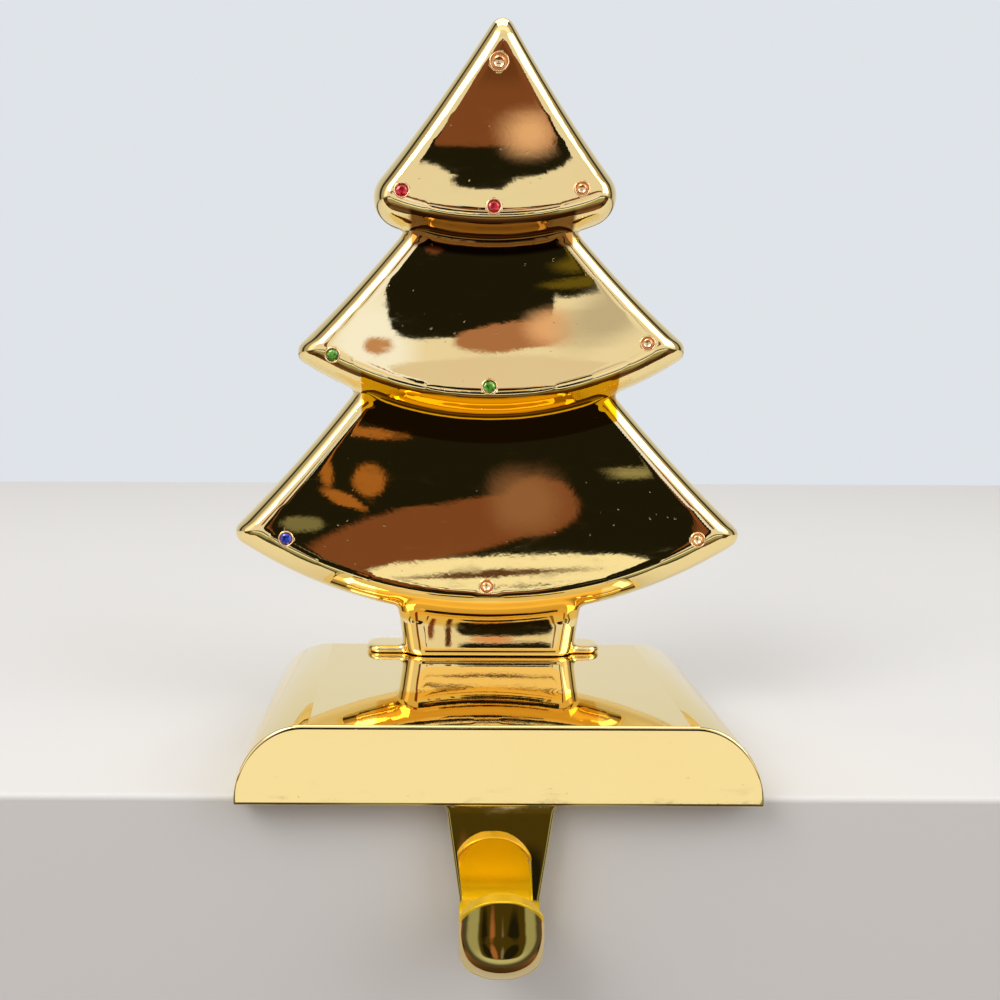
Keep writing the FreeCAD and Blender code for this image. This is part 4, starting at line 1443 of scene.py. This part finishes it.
@dataclass
class Studio:
    """Pale ledge and backdrop, soft lights, the cards that the gold mirrors, and the camera."""

    camera_place: Triple = (-15.4, -256.5, 92.0)
    pitch_down: float = 7.42
    roll: float = 0.23
    lens: float = 41.4
    shift_x: float = 0.076
    lamp_aim: Triple = (0, 0, 0.07)
    ledge_front: float = -27.0
    ledge_back: float = 542.0
    ledge_length: float = 2400.0
    ledge_height: float = 400.0
    ledge_round: float = 1.2
    least_ahead: float = 0.15

    def build(self) -> None:
        """Makes everything of the studio."""
        self.ledge()
        for card in CARDS:
            card.build()
        self.lights()
        self.world()
        self.camera()

    def ledge(self) -> None:
        """A plain pale ledge with the hook hanging past its front edge."""
        mesher = Mesher()
        depth = self.ledge_back - self.ledge_front
        mesher.box(Vector((self.ledge_length, depth, self.ledge_height)),
                   Vector((0, self.ledge_front + depth / 2, -self.ledge_height / 2)))
        mesher.bevel(mesher.bm.edges, self.ledge_round, 4)
        ledge = mesher.finish("ledge", smooth=False)
        ledge.data.materials.append(FinishKit("pale ledge").shade(
            Base_Color=(0.66, 0.655, 0.65, 1), Roughness=0.8, Specular_IOR_Level=0.2))

    def lights(self) -> None:
        """A large soft key from the upper left, a fill from the right and a light from above."""
        for name, place, size, power, tint in LAMPS:
            data = bpy.data.lights.new(name, "AREA")
            data.energy, data.size, data.color = power, size, tint
            lamp = bpy.data.objects.new(name, data)
            lamp.location = place
            lamp.rotation_euler = (Vector(self.lamp_aim) - Vector(place)).to_track_quat("-Z", "Y").to_euler()
            bpy.context.scene.collection.objects.link(lamp)

    def world(self) -> None:
        """A pale world for the camera and a room of soft zones for the mirror surfaces."""
        world = bpy.data.worlds.new("studio")
        bpy.context.scene.world = world
        world.use_nodes = True
        kit = NodeKit(world.node_tree)
        x, y, z = kit.split(kit.coords.outputs["Generated"])
        ahead = kit.math("MAXIMUM", kit.math("MULTIPLY", y, -1.0), self.least_ahead)
        slopes = [kit.math("DIVIDE", part, ahead) for part in (x, z)]
        front = PatchPainter(kit, *slopes).paint(FAR_GROUND, FAR_PATCHES)
        low = kit.span(z, -0.12, -0.02, 1.0, 0.0, True)
        room = kit.mix(low, kit.ramp(y, ROUND_STOPS), kit.ramp(z, LOW_STOPS))
        room = kit.mix(kit.span(y, -0.62, -0.5, 1.0, 0.0, True), room, front)
        seen = kit.add("ShaderNodeLightPath").outputs["Is Camera Ray"]
        kit.write(world.node_tree.nodes["Background"], Color=kit.mix(seen, room, PALE_BACKDROP))

    def camera(self) -> None:
        """The camera at the photograph's angle."""
        data = bpy.data.cameras.new("camera")
        data.lens = self.lens
        data.sensor_width = 36.0
        data.shift_x = self.shift_x
        data.clip_start = 0.01
        camera = bpy.data.objects.new("camera", data)
        pitch = Matrix.Rotation(math.radians(90 - self.pitch_down), 4, "X")
        roll = Matrix.Rotation(math.radians(self.roll), 4, "Z")
        camera.matrix_world = Matrix.Translation(Vector(self.camera_place) * MM) @ pitch @ roll
        bpy.context.scene.collection.objects.link(camera)
        bpy.context.scene.camera = camera


class Holder:
    """The whole stocking holder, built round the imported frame."""

    def __init__(self, frame: dict) -> None:
        """Keeps the frame's nodes.
        """
        self.nodes = frame["nodes"]

    def build_tree(self) -> None:
        """The tree casting, its cups and the stones that are left."""
        # The cups' pink-brown tint is a painted reflection of the room in their hollows, on a rougher gold.
        cup_gold_reflection_tint = PolishedGold("polished gold cups", color=(0.94, 0.66, 0.42), roughness=0.1, wave_height=0.0).build()
        glass = {
            Slot.RED: CutStone("red stone", (0.75, 0.02, 0.04), (0.28, 0.0, 0.01)).build(),
            Slot.GREEN: CutStone("green stone", (0.2, 0.55, 0.05), (0.02, 0.16, 0.01)).build(),
            Slot.BLUE: CutStone("blue stone", (0.04, 0.08, 0.7), (0.01, 0.01, 0.22)).build()}
        tree = TreeCasting().merged()
        skin = BVHTree.FromPolygons([v.co / MM for v in tree.data.vertices], [p.vertices for p in tree.data.polygons])
        for setting in SETTINGS:
            seat = setting.seat(skin)
            combine(tree, setting.plug(seat), "DIFFERENCE")
            hand_over(setting.cup(seat), cup_gold_reflection_tint)
            if setting.stone:
                hand_over(setting.cut_stone(seat), glass[setting.stone], setting.name)
        shade_faces(tree.data, True)
        hand_over(tree, PolishedGold("polished gold tree", zones=PAINTED_REFLECTIONS_UNDER_TIERS).build(), "tree_casting")

    def build_base(self) -> None:
        """The base block with its hook."""
        gold = PolishedGold("polished gold base", wave_height=0.000006, wave_scale=30.0, pore_depth=0.000001,
                            zones=PAINTED_REFLECTIONS_IN_HOOK).build()
        hand_over(BaseCasting().build(), gold, "base_with_hook")

    def dress_nodes(self) -> None:
        """Finishes for the pad and the screws, which stay as they are."""
        rubber = PlainFinish("pad rubber", (0.05, 0.05, 0.05), (0.02, 0.02, 0.02), 0.75, 0.0, 1800.0, 0.00004)
        steel = PlainFinish("screw steel", (0.62, 0.62, 0.6), (0.45, 0.45, 0.46), 0.35, 1.0, 2400.0, 0.000005)
        for node, finish in (("base_pad", rubber), ("foot_screws", steel)):
            data = self.nodes[node].data
            data.materials.clear()
            data.materials.append(finish.build())
            LOG.info("%s: dressed", node)


def main() -> None:
    """Builds the holder and its studio."""
    logging.basicConfig(level=logging.INFO)
    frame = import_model()
    bpy.context.scene.view_settings.view_transform = "Standard"
    holder = Holder(frame)
    holder.build_tree()
    holder.build_base()
    holder.dress_nodes()
    Studio().build()
    bpy.context.view_layer.update()


if __name__ == "__main__":
    main()
